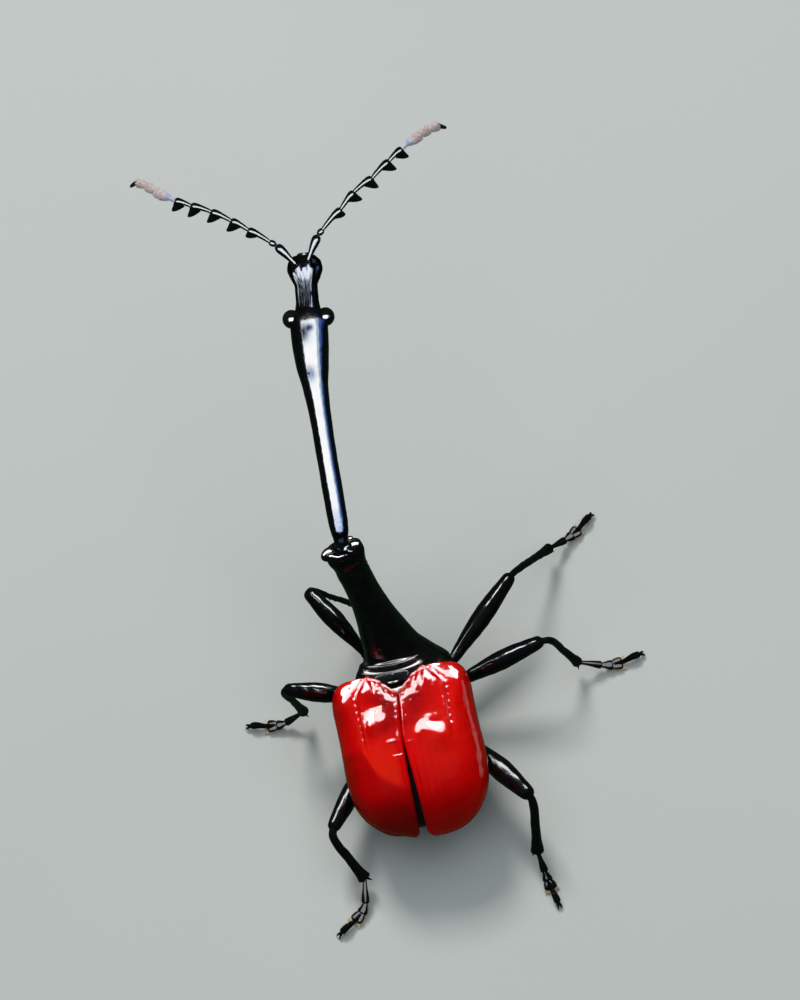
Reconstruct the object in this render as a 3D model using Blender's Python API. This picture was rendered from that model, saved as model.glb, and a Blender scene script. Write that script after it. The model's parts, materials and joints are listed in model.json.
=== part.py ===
"""Male giraffe weevil, standing with its head raised: a still display model at life size.

Lengths are millimetres in the weevil's own frame: x to its right, y forwards, z up from the
floor, with the middle of the trunk over the origin. A node is made in that frame, scaled to
metres when it is finished, and hung on one empty that turns the head towards -Y and centres
the model.
"""
import math

import bpy
import bmesh
from mathutils import Matrix, Vector

MM = 0.001
GAP = 0.25
UP = Vector((0, 0, 1))

# Trunk: its axis rises towards the front and turns a little to the left
TRUNK_CENTRE = Vector((0.1, 0, 3.4))
TRUNK_PITCH = math.radians(9)
TRUNK_YAW = math.radians(3)
TRUNK_TURN = Matrix.Rotation(TRUNK_YAW, 3, "Z") @ Matrix.Rotation(TRUNK_PITCH, 3, "X")
TRUNK_SIDE = TRUNK_TURN @ Vector((1, 0, 0))
TRUNK_AXIS = TRUNK_TURN @ Vector((0, 1, 0))
TRUNK_BACK = TRUNK_TURN @ Vector((0, 0, 1))
WAIST = 0.3

# Wing cases: places are along the trunk axis, lifts are towards the back
CASE_REAR = -2.95
CASE_FRONT = 3.95
CASE_HALF_WIDTH = [(CASE_REAR, 2.78), (-1.2, 2.92), (1.0, 2.84), (2.6, 2.78), (CASE_FRONT, 2.76)]
CASE_HEIGHT = [(CASE_REAR, 1.55), (-1.5, 1.72), (0.5, 1.78), (2.4, 1.62), (CASE_FRONT, 1.35)]
CASE_SAG = [(CASE_REAR, -0.5), (-1.8, -0.12), (0.0, 0.0), (CASE_FRONT, 0.0)]
CASE_LOWER = 1.2
CASE_SQUARE = 2.6
FRONT_SQUARE = 8.0
REAR_SQUARE = 2.5
CASE_THICK = 0.5
CASE_MARGIN = -0.45
APEX_SPLIT = 0.24
APEX_CORNER = 0.5
# Swellings of each wing case: side, along, reach to the side, reach along, height
CASE_RELIEF = [
    (2.0, 2.95, 0.55, 0.6, 0.15),
    (0.85, 2.7, 0.4, 0.5, 0.12),
    (1.0, 2.1, 1.1, 0.32, -0.13),
    (1.1, 1.45, 0.6, 0.5, 0.1),
]

# Underside
BELLY_REAR = -2.75
BELLY_FRONT = 3.35
BELLY_INSET = 0.42
BELLY_AXIS_LIFT = -0.5
BELLY_DEPTH = [(BELLY_REAR, 0.7), (-1.5, 1.0), (0.5, 1.3), (2.2, 1.22), (BELLY_FRONT, 1.0)]
COLLAR_HALF_WIDTH = 1.2
COLLAR_HEIGHT = 1.15
COLLAR_DEPTH = 1.0
COLLAR_REAR = 2.9
COLLAR_FRONT = 5.0

# Prothorax: a cone from its base rim up to the ring that holds the neck
BASE = Vector((0.12, 4.24, 3.45))
BASE_PITCH = math.radians(22)
BASE_NORMAL = Vector((0, math.cos(BASE_PITCH), math.sin(BASE_PITCH)))
RING = Vector((-1.44, 7.65, 8.5))
CONE_LENGTH = (RING - BASE).length
CONE_START = -1.3
CONE_RADIUS = [
    (CONE_START, 1.85), (0.0, 1.7), (0.5, 1.45), (1.0, 1.2), (2.0, 0.97), (3.2, 0.76),
    (4.3, 0.65), (5.2, 0.63), (5.6, 0.67), (5.8, 0.75), (CONE_LENGTH, 0.78),
]
CONE_DEPTH = [
    (CONE_START, 1.2), (0.0, 1.12), (1.0, 0.98), (2.0, 0.86), (3.2, 0.72),
    (4.3, 0.61), (5.2, 0.57), (5.6, 0.6), (5.8, 0.74), (CONE_LENGTH, 0.78),
]
CONE_BACK = 0.8

# Neck, head and rostrum share one long axis; places are distances along it
HEAD_AXIS = [
    (-1.45, 7.77, 8.7), (-1.49, 12.7, 10.82), (-1.48, 14.41, 11.57),
    (-1.34, 16.17, 12.35), (-1.13, 18.42, 13.35),
]
NECK_RADIUS = 0.41
NECK_BALL_PLACES = [-0.38, -0.28, -0.14]
NECK_END = 5.5
HEAD_END = 10.15
TIP = 11.35
EYE_PLACE = 9.15
HEAD_WIDTH = [
    (0.0, 0.4), (4.4, 0.42), (5.4, 0.45), (6.3, 0.51), (7.2, 0.65), (8.1, 0.73), (8.45, 0.73),
    (9.15, 0.62), (9.9, 0.48), (10.4, 0.45), (11.05, 0.72), (TIP, 0.62),
]
HEAD_HEIGHT = [
    (0.0, 0.4), (4.4, 0.41), (6.3, 0.46), (8.1, 0.58), (9.15, 0.48), (10.4, 0.34),
    (11.05, 0.33), (TIP, 0.28),
]
EYE_RADIUS = 0.38
EYE_SIDE = 0.68
EYE_ROOT = 0.58
MANDIBLE_LENGTH = 0.42

# Feelers: marks from the root of the scape to the tip of the club
FEELER_THICK = 0.25
FEELERS = {
    "right": [
        (-0.86, 18.04, 13.9), (-0.45, 18.91, 14.05), (0.62, 19.74, 14.35), (1.24, 20.32, 14.5),
        (2.04, 20.75, 14.6), (2.81, 21.35, 14.65), (3.4, 21.78, 14.65), (3.85, 22.08, 14.6),
        (4.38, 22.48, 14.5), (4.98, 22.75, 14.35), (5.31, 22.59, 14.2),
    ],
    "left": [
        (-1.65, 17.95, 13.9), (-2.16, 18.75, 14.05), (-3.17, 19.47, 14.35), (-3.78, 19.91, 14.5),
        (-4.51, 20.39, 14.6), (-5.27, 20.76, 14.65), (-5.87, 21.08, 14.65), (-6.28, 21.36, 14.6),
        (-6.78, 21.89, 14.5), (-7.27, 22.26, 14.35), (-7.58, 22.2, 14.2),
    ],
}
CLUB_RADIUS = [(0.0, 0.25), (0.35, 0.28), (0.62, 0.27), (0.78, 0.24), (0.9, 0.13), (1.0, 0.06)]
TOOTH_LENGTH = 0.52
TOOTH_RADIUS = 0.22

# Legs: the root in the body, the hip, knee, ankle, instep and toe
LEGS = {
    "front_right": [
        (0.6, 4.5, 2.8), (1.87, 4.42, 2.0), (5.08, 7.54, 3.0),
        (6.84, 9.28, 0.9), (7.87, 9.95, 0.3), (8.73, 10.69, 0.1),
    ],
    "front_left": [
        (-0.55, 4.3, 2.7), (-1.15, 5.35, 2.3), (-3.13, 7.75, 4.2),
        (-1.23, 7.88, 0.9), (-0.84, 8.84, 0.3), (-0.65, 9.65, 0.1),
    ],
    "mid_right": [
        (0.9, 2.76, 2.57), (1.82, 3.58, 1.9), (5.87, 4.42, 3.3),
        (7.23, 4.2, 0.85), (8.7, 4.08, 0.3), (9.81, 4.36, 0.1),
    ],
    "mid_left": [
        (-0.9, 2.76, 2.57), (-1.53, 3.71, 1.9), (-4.6, 3.75, 4.1),
        (-4.09, 3.92, 0.9), (-4.96, 3.74, 0.3), (-6.34, 3.91, 0.1),
    ],
    "hind_right": [
        (1.0, 1.1, 2.4), (2.1, 1.37, 1.7), (4.42, -2.0, 3.1),
        (4.39, -3.55, 0.8), (4.63, -4.67, 0.3), (4.89, -5.68, 0.1),
    ],
    "hind_left": [
        (-0.9, 1.2, 2.4), (-1.4, 1.75, 1.25), (-3.6, -1.78, 2.35),
        (-2.67, -3.54, 0.8), (-2.89, -4.66, 0.3), (-3.94, -5.5, 0.1),
    ],
}
OVERSHOOT = 1.1
COXA_RADIUS = [(0.0, 0.6), (0.6, 0.52), (1.0, 0.32)]
FEMUR_RADIUS = [(0.0, 0.25), (0.25, 0.29), (0.62, 0.4), (0.85, 0.33), (1.0, 0.26)]
TIBIA_RADIUS = [(0.0, 0.25), (0.7, 0.25), (1.0, 0.31)]
FEMUR_BOW = 0.08
TIBIA_BOW = 0.12
TARSUS_LIFTS = [(0.2, 0.62), (0.4, 0.36), (0.6, 0.2), (0.75, 0.2), (0.88, 0.26), (1.0, 0.19)]
TARSUS_WIDTH = [
    (0.0, 0.25), (0.36, 0.27), (0.44, 0.25), (0.6, 0.31), (0.74, 0.3), (0.82, 0.19), (1.0, 0.17),
]
TARSUS_HEIGHT = [(0.0, 0.25), (0.74, 0.25), (0.82, 0.18), (1.0, 0.15)]
CLAW_LENGTH = 0.36
CLAW_RADIUS = 0.09
CLAW_SPREAD = math.radians(24)

# Colour, roughness
LOOKS = {
    "black": ((0.012, 0.014, 0.013), 0.2),
    "red": ((0.52, 0.01, 0.008), 0.22),
    "club": ((0.5, 0.38, 0.34), 0.85),
    "eye": ((0.006, 0.006, 0.007), 0.1),
}


def through(points, rounded=False):
    """A smooth function through (place, value) points; without `rounded` it never overshoots."""
    places = [place for place, _ in points]
    values = [value for _, value in points]
    steps = [(b - a) / (q - p) for p, q, a, b in zip(places, places[1:], values, values[1:])]
    pairs = list(zip(steps, steps[1:]))
    if rounded:
        inner = [(a + b) / 2 for a, b in pairs]
    else:
        inner = [2 * a * b / (a + b) if a * b > 0 else 0.0 for a, b in pairs]
    slopes = [steps[0], *inner, steps[-1]]

    def value(place):
        place = min(max(place, places[0]), places[-1])
        start = max(index for index in range(len(steps)) if places[index] <= place)
        span = places[start + 1] - places[start]
        s = (place - places[start]) / span
        rise = values[start + 1] - values[start]
        bend = slopes[start] * s * (1 - s) ** 2 - slopes[start + 1] * s * s * (1 - s)
        return values[start] + rise * s * s * (3 - 2 * s) + span * bend

    return value


def path(points):
    """A smooth line through points as a function of distance, run on straight past its ends."""
    points = [Vector(point) for point in points]
    places = [0.0]
    for a, b in zip(points, points[1:]):
        places.append(places[-1] + (b - a).length)
    axes = [through([(place, point[axis]) for place, point in zip(places, points)], rounded=True)
            for axis in range(3)]
    total = places[-1]
    first = (points[1] - points[0]).normalized()
    last = (points[-1] - points[-2]).normalized()

    def point_at(place):
        inside = Vector([axis(place) for axis in axes])
        return inside + first * min(place, 0.0) + last * max(place - total, 0.0)

    return point_at, total


def evenly(first, last, count):
    """Numbers from first to last, count steps apart."""
    return [first + (last - first) * step / count for step in range(count + 1)]


def along_curve(line, place):
    """Direction of a line at a place."""
    return (line(place + 0.02) - line(place - 0.02)).normalized()


def sweep(stations, line, width, height, depth=None, up=UP, sides=8, square=2.0):
    """A closed body along a line: the rings of a sphere, moved to the stations.

    The section has a half width, a height towards `up` and a depth away from it, and is a
    superellipse of the power `square`. The sphere's two poles close the flat ends.
    """
    depth = depth or height
    body = bmesh.new()
    rings = len(stations)
    bmesh.ops.create_uvsphere(body, u_segments=sides, v_segments=rings + 1, radius=1.0)
    for vert in body.verts:
        ring = round(math.acos(min(max(vert.co.z, -1.0), 1.0)) / math.pi * (rings + 1))
        pole = ring in (0, rings + 1)
        place = stations[min(max(ring - 1, 0), rings - 1)]
        tangent = along_curve(line, place)
        side = tangent.cross(up).normalized()
        top = side.cross(tangent)
        centre = line(place)
        if pole:
            vert.co = centre
            continue
        angle = math.atan2(vert.co.y, vert.co.x)
        across = math.copysign(abs(math.cos(angle)) ** (2 / square), math.cos(angle))
        lift = math.copysign(abs(math.sin(angle)) ** (2 / square), math.sin(angle))
        reach = height(place) if lift > 0 else depth(place)
        vert.co = centre + side * across * width(place) + top * lift * reach
    bmesh.ops.remove_doubles(body, verts=body.verts, dist=1e-4)
    bmesh.ops.recalc_face_normals(body, faces=body.faces)
    return body


def cut(body, point, normal):
    """Remove what lies beyond a plane, on the side of its normal, and close the cut."""
    geometry = body.verts[:] + body.edges[:] + body.faces[:]
    bmesh.ops.bisect_plane(
        body, geom=geometry, dist=1e-5, plane_co=point, plane_no=normal, clear_outer=True)
    bmesh.ops.holes_fill(body, edges=[edge for edge in body.edges if edge.is_boundary])
    return body


def cut_at_joint(body, joint, before, after, keep_after):
    """End a limb at a joint, on the plane that halves its bend, half a gap short of it."""
    normal = (before + after).normalized()
    if keep_after:
        return cut(body, joint + normal * GAP / 2, -normal)
    return cut(body, joint - normal * GAP / 2, normal)


def largest_surface(body):
    """Keep only the closed surface with the most area."""
    left = set(body.faces)
    pieces = []
    while left:
        piece = {left.pop()}
        edge_of_piece = list(piece)
        while edge_of_piece:
            face = edge_of_piece.pop()
            for edge in face.edges:
                for other in edge.link_faces:
                    if other in left:
                        left.remove(other)
                        piece.add(other)
                        edge_of_piece.append(other)
        pieces.append(piece)
    pieces.sort(key=lambda piece: sum(face.calc_area() for face in piece))
    for piece in pieces[:-1]:
        bmesh.ops.delete(body, geom=list(piece), context="FACES")
    return body


def boolean(body, others, operation="UNION"):
    """Join closed bodies to one, or take them from it, and keep the largest surface."""
    helpers = bpy.data.collections.new("pieces to join")
    bpy.context.scene.collection.children.link(helpers)
    objects = []
    for index, piece in enumerate([body, *others]):
        mesh = bpy.data.meshes.new(f"piece {index}")
        bmesh.ops.triangulate(piece, faces=piece.faces)
        piece.to_mesh(mesh)
        piece.free()
        objects.append(bpy.data.objects.new(f"piece {index}", mesh))
    whole = objects[0]
    bpy.context.scene.collection.objects.link(whole)
    for piece in objects[1:]:
        helpers.objects.link(piece)
        piece.hide_render = True
        piece.display_type = "WIRE"
    modifier = whole.modifiers.new("Boolean", "BOOLEAN")
    modifier.operation = operation
    modifier.operand_type = "COLLECTION"
    modifier.collection = helpers
    modifier.solver = "EXACT"
    evaluated = whole.evaluated_get(bpy.context.evaluated_depsgraph_get())
    result = bmesh.new()
    result.from_mesh(evaluated.to_mesh())
    evaluated.to_mesh_clear()
    for piece in objects:
        bpy.data.objects.remove(piece)
    bpy.data.collections.remove(helpers)
    bmesh.ops.remove_doubles(result, verts=result.verts, dist=0.004)
    bmesh.ops.dissolve_degenerate(result, edges=result.edges, dist=0.002)
    return largest_surface(result)


def add_node(name, body, look):
    """Scale a body to metres and add it as a node with a material of its own."""
    largest_surface(body)
    bmesh.ops.triangulate(body, faces=body.faces)
    bmesh.ops.recalc_face_normals(body, faces=body.faces)
    body.transform(Matrix.Scale(MM, 4))
    mesh = bpy.data.meshes.new(name)
    body.to_mesh(mesh)
    body.free()
    mesh.shade_smooth()
    mesh.set_sharp_from_angle(angle=math.radians(40))
    node = bpy.data.objects.new(name, mesh)
    colour, roughness = LOOKS[look]
    material = bpy.data.materials.new(name)
    material.use_nodes = True
    shader = material.node_tree.nodes["Principled BSDF"]
    shader.inputs["Base Color"].default_value = (*colour, 1)
    shader.inputs["Roughness"].default_value = roughness
    shader.inputs["Metallic"].default_value = 0.0
    mesh.materials.append(material)
    return node


def trunk_point(side, along, lift):
    return TRUNK_CENTRE + TRUNK_SIDE * side + TRUNK_AXIS * along + TRUNK_BACK * lift


def blunt_stations(rear, front, rear_power, front_power, count):
    """Places along a superellipse that is closer ringed towards its two blunt ends."""
    middle = (rear + front) / 2
    reach = (front - rear) / 2
    places = []
    for angle in evenly(math.pi, 0, count):
        power = front_power if angle < math.pi / 2 else rear_power
        share = math.copysign(abs(math.cos(angle)) ** (2 / power), math.cos(angle))
        places.append(middle + reach * share)
    return places


def blunt_share(place, rear, front, rear_power, front_power):
    """Share of the full section that a blunt-ended body has at a place."""
    share = (place - (rear + front) / 2) / ((front - rear) / 2)
    power = front_power if share > 0 else rear_power
    return max(0.0, 1 - abs(share) ** power) ** (1 / power)


def case_relief(side, along):
    return sum(
        height * math.exp(-((abs(side) - at) / reach) ** 2 - ((along - place) / length) ** 2)
        for at, place, reach, length, height in CASE_RELIEF)


def dome(grow, sides=28, rings=18, relief=False):
    """The blunt box that both wing cases follow, grown or shrunk all round."""
    rear = CASE_REAR - grow
    front = CASE_FRONT + grow
    half_width = through(CASE_HALF_WIDTH)
    height = through(CASE_HEIGHT)
    sag = through(CASE_SAG)

    def share(place):
        return blunt_share(place, rear, front, REAR_SQUARE, FRONT_SQUARE)

    body = sweep(
        blunt_stations(rear, front, REAR_SQUARE, FRONT_SQUARE, rings),
        lambda place: trunk_point(0, place, sag(place)),
        lambda place: (half_width(place) + grow) * share(place),
        lambda place: (height(place) + grow) * share(place),
        lambda place: CASE_LOWER * share(place),
        up=TRUNK_BACK, sides=sides, square=CASE_SQUARE)
    if relief:
        for vert in body.verts:
            offset = vert.co - TRUNK_CENTRE
            lift = offset.dot(TRUNK_BACK)
            if lift > 0:
                upward = min(1.0, lift)
                relief_here = case_relief(offset.dot(TRUNK_SIDE), offset.dot(TRUNK_AXIS))
                vert.co += TRUNK_BACK * upward * relief_here
    return body


def collar(grow):
    """The front of the middle thorax, between the wing cases and the prothorax."""
    return sweep(
        evenly(COLLAR_REAR - grow, COLLAR_FRONT, 4), lambda place: trunk_point(0, place, 0),
        lambda place: COLLAR_HALF_WIDTH + grow, lambda place: COLLAR_HEIGHT + grow,
        lambda place: COLLAR_DEPTH + grow, up=TRUNK_BACK, sides=20)


def trunk_body(grow):
    """The trunk under the wing cases: the part they cover, the underside and the collar."""
    half_width = through(CASE_HALF_WIDTH)
    depth = through(BELLY_DEPTH)

    def share(place):
        return blunt_share(place, BELLY_REAR - grow, BELLY_FRONT + grow, REAR_SQUARE, FRONT_SQUARE)

    belly = sweep(
        blunt_stations(BELLY_REAR - grow, BELLY_FRONT + grow, REAR_SQUARE, FRONT_SQUARE, 14),
        lambda place: trunk_point(0, place, BELLY_AXIS_LIFT),
        lambda place: (half_width(place) - BELLY_INSET + grow) * share(place),
        lambda place: (1.0 + grow) * share(place),
        lambda place: (depth(place) + grow) * share(place),
        up=TRUNK_BACK, sides=24)
    cut(belly, trunk_point(0, 0, CASE_MARGIN - GAP + grow), TRUNK_BACK)
    return boolean(dome(-CASE_THICK - GAP + grow), [belly, collar(grow)])


def wing_case(sign):
    """One wing case: half of the dome's shell, its inner edge leaving the seam towards the rear."""
    shell = dome(0.0, relief=True)
    inner = -sign * TRUNK_SIDE
    seam = trunk_point(sign * GAP / 2, 0, 0)
    cut(shell, seam, inner)
    tail = trunk_point(sign * APEX_SPLIT, CASE_REAR, 0)
    slant = (tail - seam).cross(TRUNK_BACK).normalized()
    cut(shell, seam, slant if slant.dot(inner) > 0 else -slant)
    corner = (inner * 0.8 - TRUNK_AXIS).normalized()
    cut(shell, trunk_point(sign * APEX_CORNER, CASE_REAR + 0.05, 0), corner)
    cut(shell, trunk_point(0, 0, CASE_MARGIN), -TRUNK_BACK)
    return boolean(shell, [dome(-CASE_THICK), collar(GAP)], "DIFFERENCE")


def prothorax_cone(grow):
    """The prothorax before its base and its socket are cut."""
    direction = (RING - BASE).normalized()
    radius = through(CONE_RADIUS)
    depth = through(CONE_DEPTH)
    return sweep(
        [CONE_START, -0.6, *evenly(0, 5.2, 9), 5.5, 5.75, CONE_LENGTH],
        lambda place: BASE + direction * place,
        lambda place: radius(place) + grow,
        lambda place: radius(place) * (CONE_BACK if place < 2 else 1) + grow,
        lambda place: depth(place) + grow,
        up=TRUNK_BACK, sides=24)


def head_body(start, end):
    """A length of the neck, head and rostrum; the neck starts as half a ball."""
    line, _ = path(HEAD_AXIS)
    width = through(HEAD_WIDTH)
    height = through(HEAD_HEIGHT)
    marks = [place for place, _ in HEAD_WIDTH] + NECK_BALL_PLACES + [1.5, 3.0, 8.8, 9.5, 10.75]
    stations = [start, *sorted(place for place in marks if start < place < end), end]

    def rounded(place):
        return math.sqrt(max(0.0, 1 - (min(place, 0.0) / NECK_RADIUS) ** 2))

    return sweep(
        stations, line, lambda place: width(place) * rounded(place),
        lambda place: height(place) * rounded(place), sides=16, square=2.2)


def ball(centre, radius, segments=12):
    body = bmesh.new()
    bmesh.ops.create_uvsphere(
        body, u_segments=segments, v_segments=segments // 2 + 1, radius=radius,
        matrix=Matrix.Translation(centre))
    return body


def spike(root, tip, radius, sides=6):
    """A pointed cone from a sunk root to its tip."""
    body = bmesh.new()
    direction = tip - root
    turn = direction.to_track_quat("Z", "Y").to_matrix().to_4x4()
    bmesh.ops.create_cone(
        body, cap_ends=True, segments=sides, radius1=radius, radius2=radius * 0.2,
        depth=direction.length, matrix=Matrix.Translation((root + tip) / 2) @ turn)
    return body


def limb(start, end, radius, bow=0.0, sides=8, rings=6):
    """A tube from start to end that runs on past both, to be cut where it meets its neighbours."""
    axis = end - start
    length = axis.length
    direction = axis / length
    rise = direction.cross(UP).normalized().cross(direction) * bow
    profile = through(radius)

    def line(place):
        share = min(max(place / length, 0.0), 1.0)
        return start + direction * place + rise * 4 * share * (1 - share)

    def size(place):
        return profile(min(max(place / length, 0.0), 1.0))

    stations = [-OVERSHOOT, *evenly(0, length, rings), length + OVERSHOOT]
    return sweep(stations, line, size, size, sides=sides)


def make_trunk():
    whole = trunk_body(0.0)
    cut(whole, BASE - BASE_NORMAL * GAP / 2, BASE_NORMAL)
    rear = whole.copy()
    cut(whole, trunk_point(0, WAIST + GAP / 2, 0), -TRUNK_AXIS)
    cut(rear, trunk_point(0, WAIST - GAP / 2, 0), TRUNK_AXIS)
    return [
        add_node("hind_thorax", whole, "black"),
        add_node("abdomen", rear, "black"),
        add_node("wing_case_right", wing_case(1), "red"),
        add_node("wing_case_left", wing_case(-1), "red"),
    ]


def make_prothorax():
    body = prothorax_cone(0.0)
    cut(body, BASE + BASE_NORMAL * GAP / 2, -BASE_NORMAL)
    socket = ball(Vector(HEAD_AXIS[0]), NECK_RADIUS + GAP, segments=16)
    return [add_node("prothorax", boolean(body, [socket], "DIFFERENCE"), "black")]


def make_head():
    line, _ = path(HEAD_AXIS)
    neck = head_body(-NECK_RADIUS, NECK_END - GAP / 2)
    head = head_body(NECK_END + GAP / 2, HEAD_END - GAP / 2)
    rostrum = head_body(HEAD_END + GAP / 2, TIP)
    nodes = []
    across = along_curve(line, EYE_PLACE).cross(UP).normalized()
    sockets = []
    for name, sign in (("right", 1), ("left", -1)):
        centre = line(EYE_PLACE) + across * sign * EYE_SIDE
        eye = ball(centre, EYE_RADIUS)
        cut(eye, line(EYE_PLACE) + across * sign * EYE_ROOT, -across * sign)
        nodes.append(add_node(f"eye_{name}", eye, "eye"))
        floor = line(EYE_PLACE) + across * sign * (EYE_ROOT - GAP)
        socket = ball(centre, EYE_RADIUS + GAP)
        cut(socket, floor, -across * sign)
        sockets.append(socket)
    nodes.append(add_node("neck", neck, "black"))
    nodes.append(add_node("head", boolean(head, sockets, "DIFFERENCE"), "black"))
    nodes.append(add_node("rostrum", rostrum, "black"))
    forward = along_curve(line, TIP)
    across = forward.cross(UP).normalized()
    for name, sign in (("right", 1), ("left", -1)):
        root = line(TIP) + across * sign * 0.36 - forward * 0.3
        tip = line(TIP) + across * sign * 0.22 + forward * MANDIBLE_LENGTH
        jaw = limb(root, tip, [(0.0, 0.2), (0.6, 0.18), (1.0, 0.1)], sides=8, rings=3)
        cut(jaw, line(TIP) + forward * GAP, -forward)
        cut(jaw, tip, forward)
        cut(jaw, line(TIP) + across * sign * GAP / 2, -across * sign)
        nodes.append(add_node(f"mandible_{name}", jaw, "black"))
    return nodes


def make_feeler(name):
    """Scape, toothed funicle and club of one feeler."""
    marks = [Vector(mark) for mark in FEELERS[name]]
    root, elbow = marks[0], marks[1]
    scape = limb(root, elbow, [(0.0, FEELER_THICK), (0.7, 0.27), (1.0, FEELER_THICK)], rings=3)
    after = (marks[2] - elbow).normalized()
    before = (elbow - root).normalized()
    cut(scape, root, -(before + UP).normalized())
    cut_at_joint(scape, elbow, before, after, keep_after=False)

    line, length = path([elbow, *marks[2:8]])
    body = sweep([-0.6, *evenly(0, length, 14), length + 0.6], line,
                 lambda place: FEELER_THICK, lambda place: FEELER_THICK, sides=8)
    cut_at_joint(body, elbow, before, after, keep_after=True)
    club_way = (marks[8] - marks[7]).normalized()
    cut_at_joint(body, marks[7], along_curve(line, length), club_way, keep_after=False)
    teeth = []
    for previous, mark in zip(marks[1:6], marks[2:7]):
        way = (mark - previous).normalized()
        back = way.cross(UP).normalized()
        if back.y > 0:
            back = -back
        lean = (back + way * 0.45).normalized()
        teeth.append(spike(mark - way * 0.3, mark - way * 0.12 + lean * TOOTH_LENGTH, TOOTH_RADIUS))
    funicle = boolean(body, teeth)

    line, length = path(marks[7:])
    radius = through(CLUB_RADIUS)
    club = sweep([-0.5, *evenly(0, length, 10)], line,
                 lambda place: radius(place / length), lambda place: radius(place / length), sides=10)
    cut_at_joint(club, marks[7], (marks[7] - marks[6]).normalized(), club_way, keep_after=True)
    return [
        add_node(f"scape_{name}", scape, "black"),
        add_node(f"funicle_{name}", funicle, "black"),
        add_node(f"club_{name}", club, "club"),
    ]


def tarsus_line(ankle, instep, toe):
    """The middle of a foot as a smooth line from the ankle down to the floor."""
    plan, reach = path([Vector((mark.x, mark.y, 0)) for mark in (ankle, instep, toe)])
    return path([ankle, *(plan(reach * share) + UP * lift for share, lift in TARSUS_LIFTS)])


def make_tarsus(line, length, before):
    """The foot: a tube that comes down to the floor, its pad cut flat on it, and two claws."""
    width = through(TARSUS_WIDTH)
    height = through(TARSUS_HEIGHT)
    foot = sweep([-0.8, *evenly(0, length, 10)], line,
                 lambda place: width(place / length), lambda place: height(place / length), sides=8)
    cut_at_joint(foot, line(0.0), before, along_curve(line, 0.0), keep_after=True)
    end = line(length)
    way = along_curve(line, length)
    way = Vector((way.x, way.y, 0)).normalized()
    claws = []
    for sign in (1, -1):
        spread = Matrix.Rotation(sign * CLAW_SPREAD, 3, "Z") @ way
        tip = end + spread * CLAW_LENGTH
        tip.z = CLAW_RADIUS * 0.6
        claws.append(spike(end - way * 0.2 + spread * 0.02, tip, CLAW_RADIUS))
    foot = boolean(foot, claws)
    return cut(foot, Vector((0, 0, 0)), -UP)


def make_leg(name, around):
    """Coxa, femur, tibia and tarsus of one leg, cut clear of the body that carries it."""
    root, hip, knee, ankle, instep, toe = [Vector(mark) for mark in LEGS[name]]
    coxa_way = (hip - root).normalized()
    femur_way = (knee - hip).normalized()
    tibia_way = (ankle - knee).normalized()
    foot_line, foot_length = tarsus_line(ankle, instep, toe)
    coxa = limb(root, hip, COXA_RADIUS, sides=10, rings=4)
    cut(coxa, root, -coxa_way)
    cut_at_joint(coxa, hip, coxa_way, femur_way, keep_after=False)
    coxa = boolean(coxa, around(), "DIFFERENCE")
    femur = limb(hip, knee, FEMUR_RADIUS, bow=FEMUR_BOW, sides=10, rings=8)
    cut_at_joint(femur, hip, coxa_way, femur_way, keep_after=True)
    cut_at_joint(femur, knee, femur_way, tibia_way, keep_after=False)
    tibia = limb(knee, ankle, TIBIA_RADIUS, bow=TIBIA_BOW, sides=8, rings=5)
    cut_at_joint(tibia, knee, femur_way, tibia_way, keep_after=True)
    cut_at_joint(tibia, ankle, tibia_way, along_curve(foot_line, 0.0), keep_after=False)
    tarsus = make_tarsus(foot_line, foot_length, tibia_way)
    return [
        add_node(f"coxa_{name}", coxa, "black"),
        add_node(f"femur_{name}", femur, "black"),
        add_node(f"tibia_{name}", tibia, "black"),
        add_node(f"tarsus_{name}", tarsus, "black"),
    ]


def centre_on_origin(root, nodes):
    """Turn the head towards -Y and put the middle of the model's box over the origin."""
    corners = [vert.co for node in nodes for vert in node.data.vertices]
    middle = [(min(c[axis] for c in corners) + max(c[axis] for c in corners)) / 2 for axis in (0, 1)]
    root.rotation_euler = (0, 0, math.pi)
    root.location = (middle[0], middle[1], 0)


def main():
    for old in list(bpy.data.objects):
        bpy.data.objects.remove(old)
    collection = bpy.data.collections.new("giraffe weevil")
    bpy.context.scene.collection.children.link(collection)
    root = bpy.data.objects.new("giraffe_weevil", None)
    collection.objects.link(root)
    nodes = make_trunk() + make_prothorax() + make_head()
    for side in FEELERS:
        nodes += make_feeler(side)
    for name in LEGS:
        nodes += make_leg(name, lambda: [trunk_body(GAP), prothorax_cone(GAP)])
    for node in nodes:
        collection.objects.link(node)
        node.parent = root
    centre_on_origin(root, nodes)


main()
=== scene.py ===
import json
import math

import bmesh
import bpy
import numpy as np
from mathutils import Matrix, Vector

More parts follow.
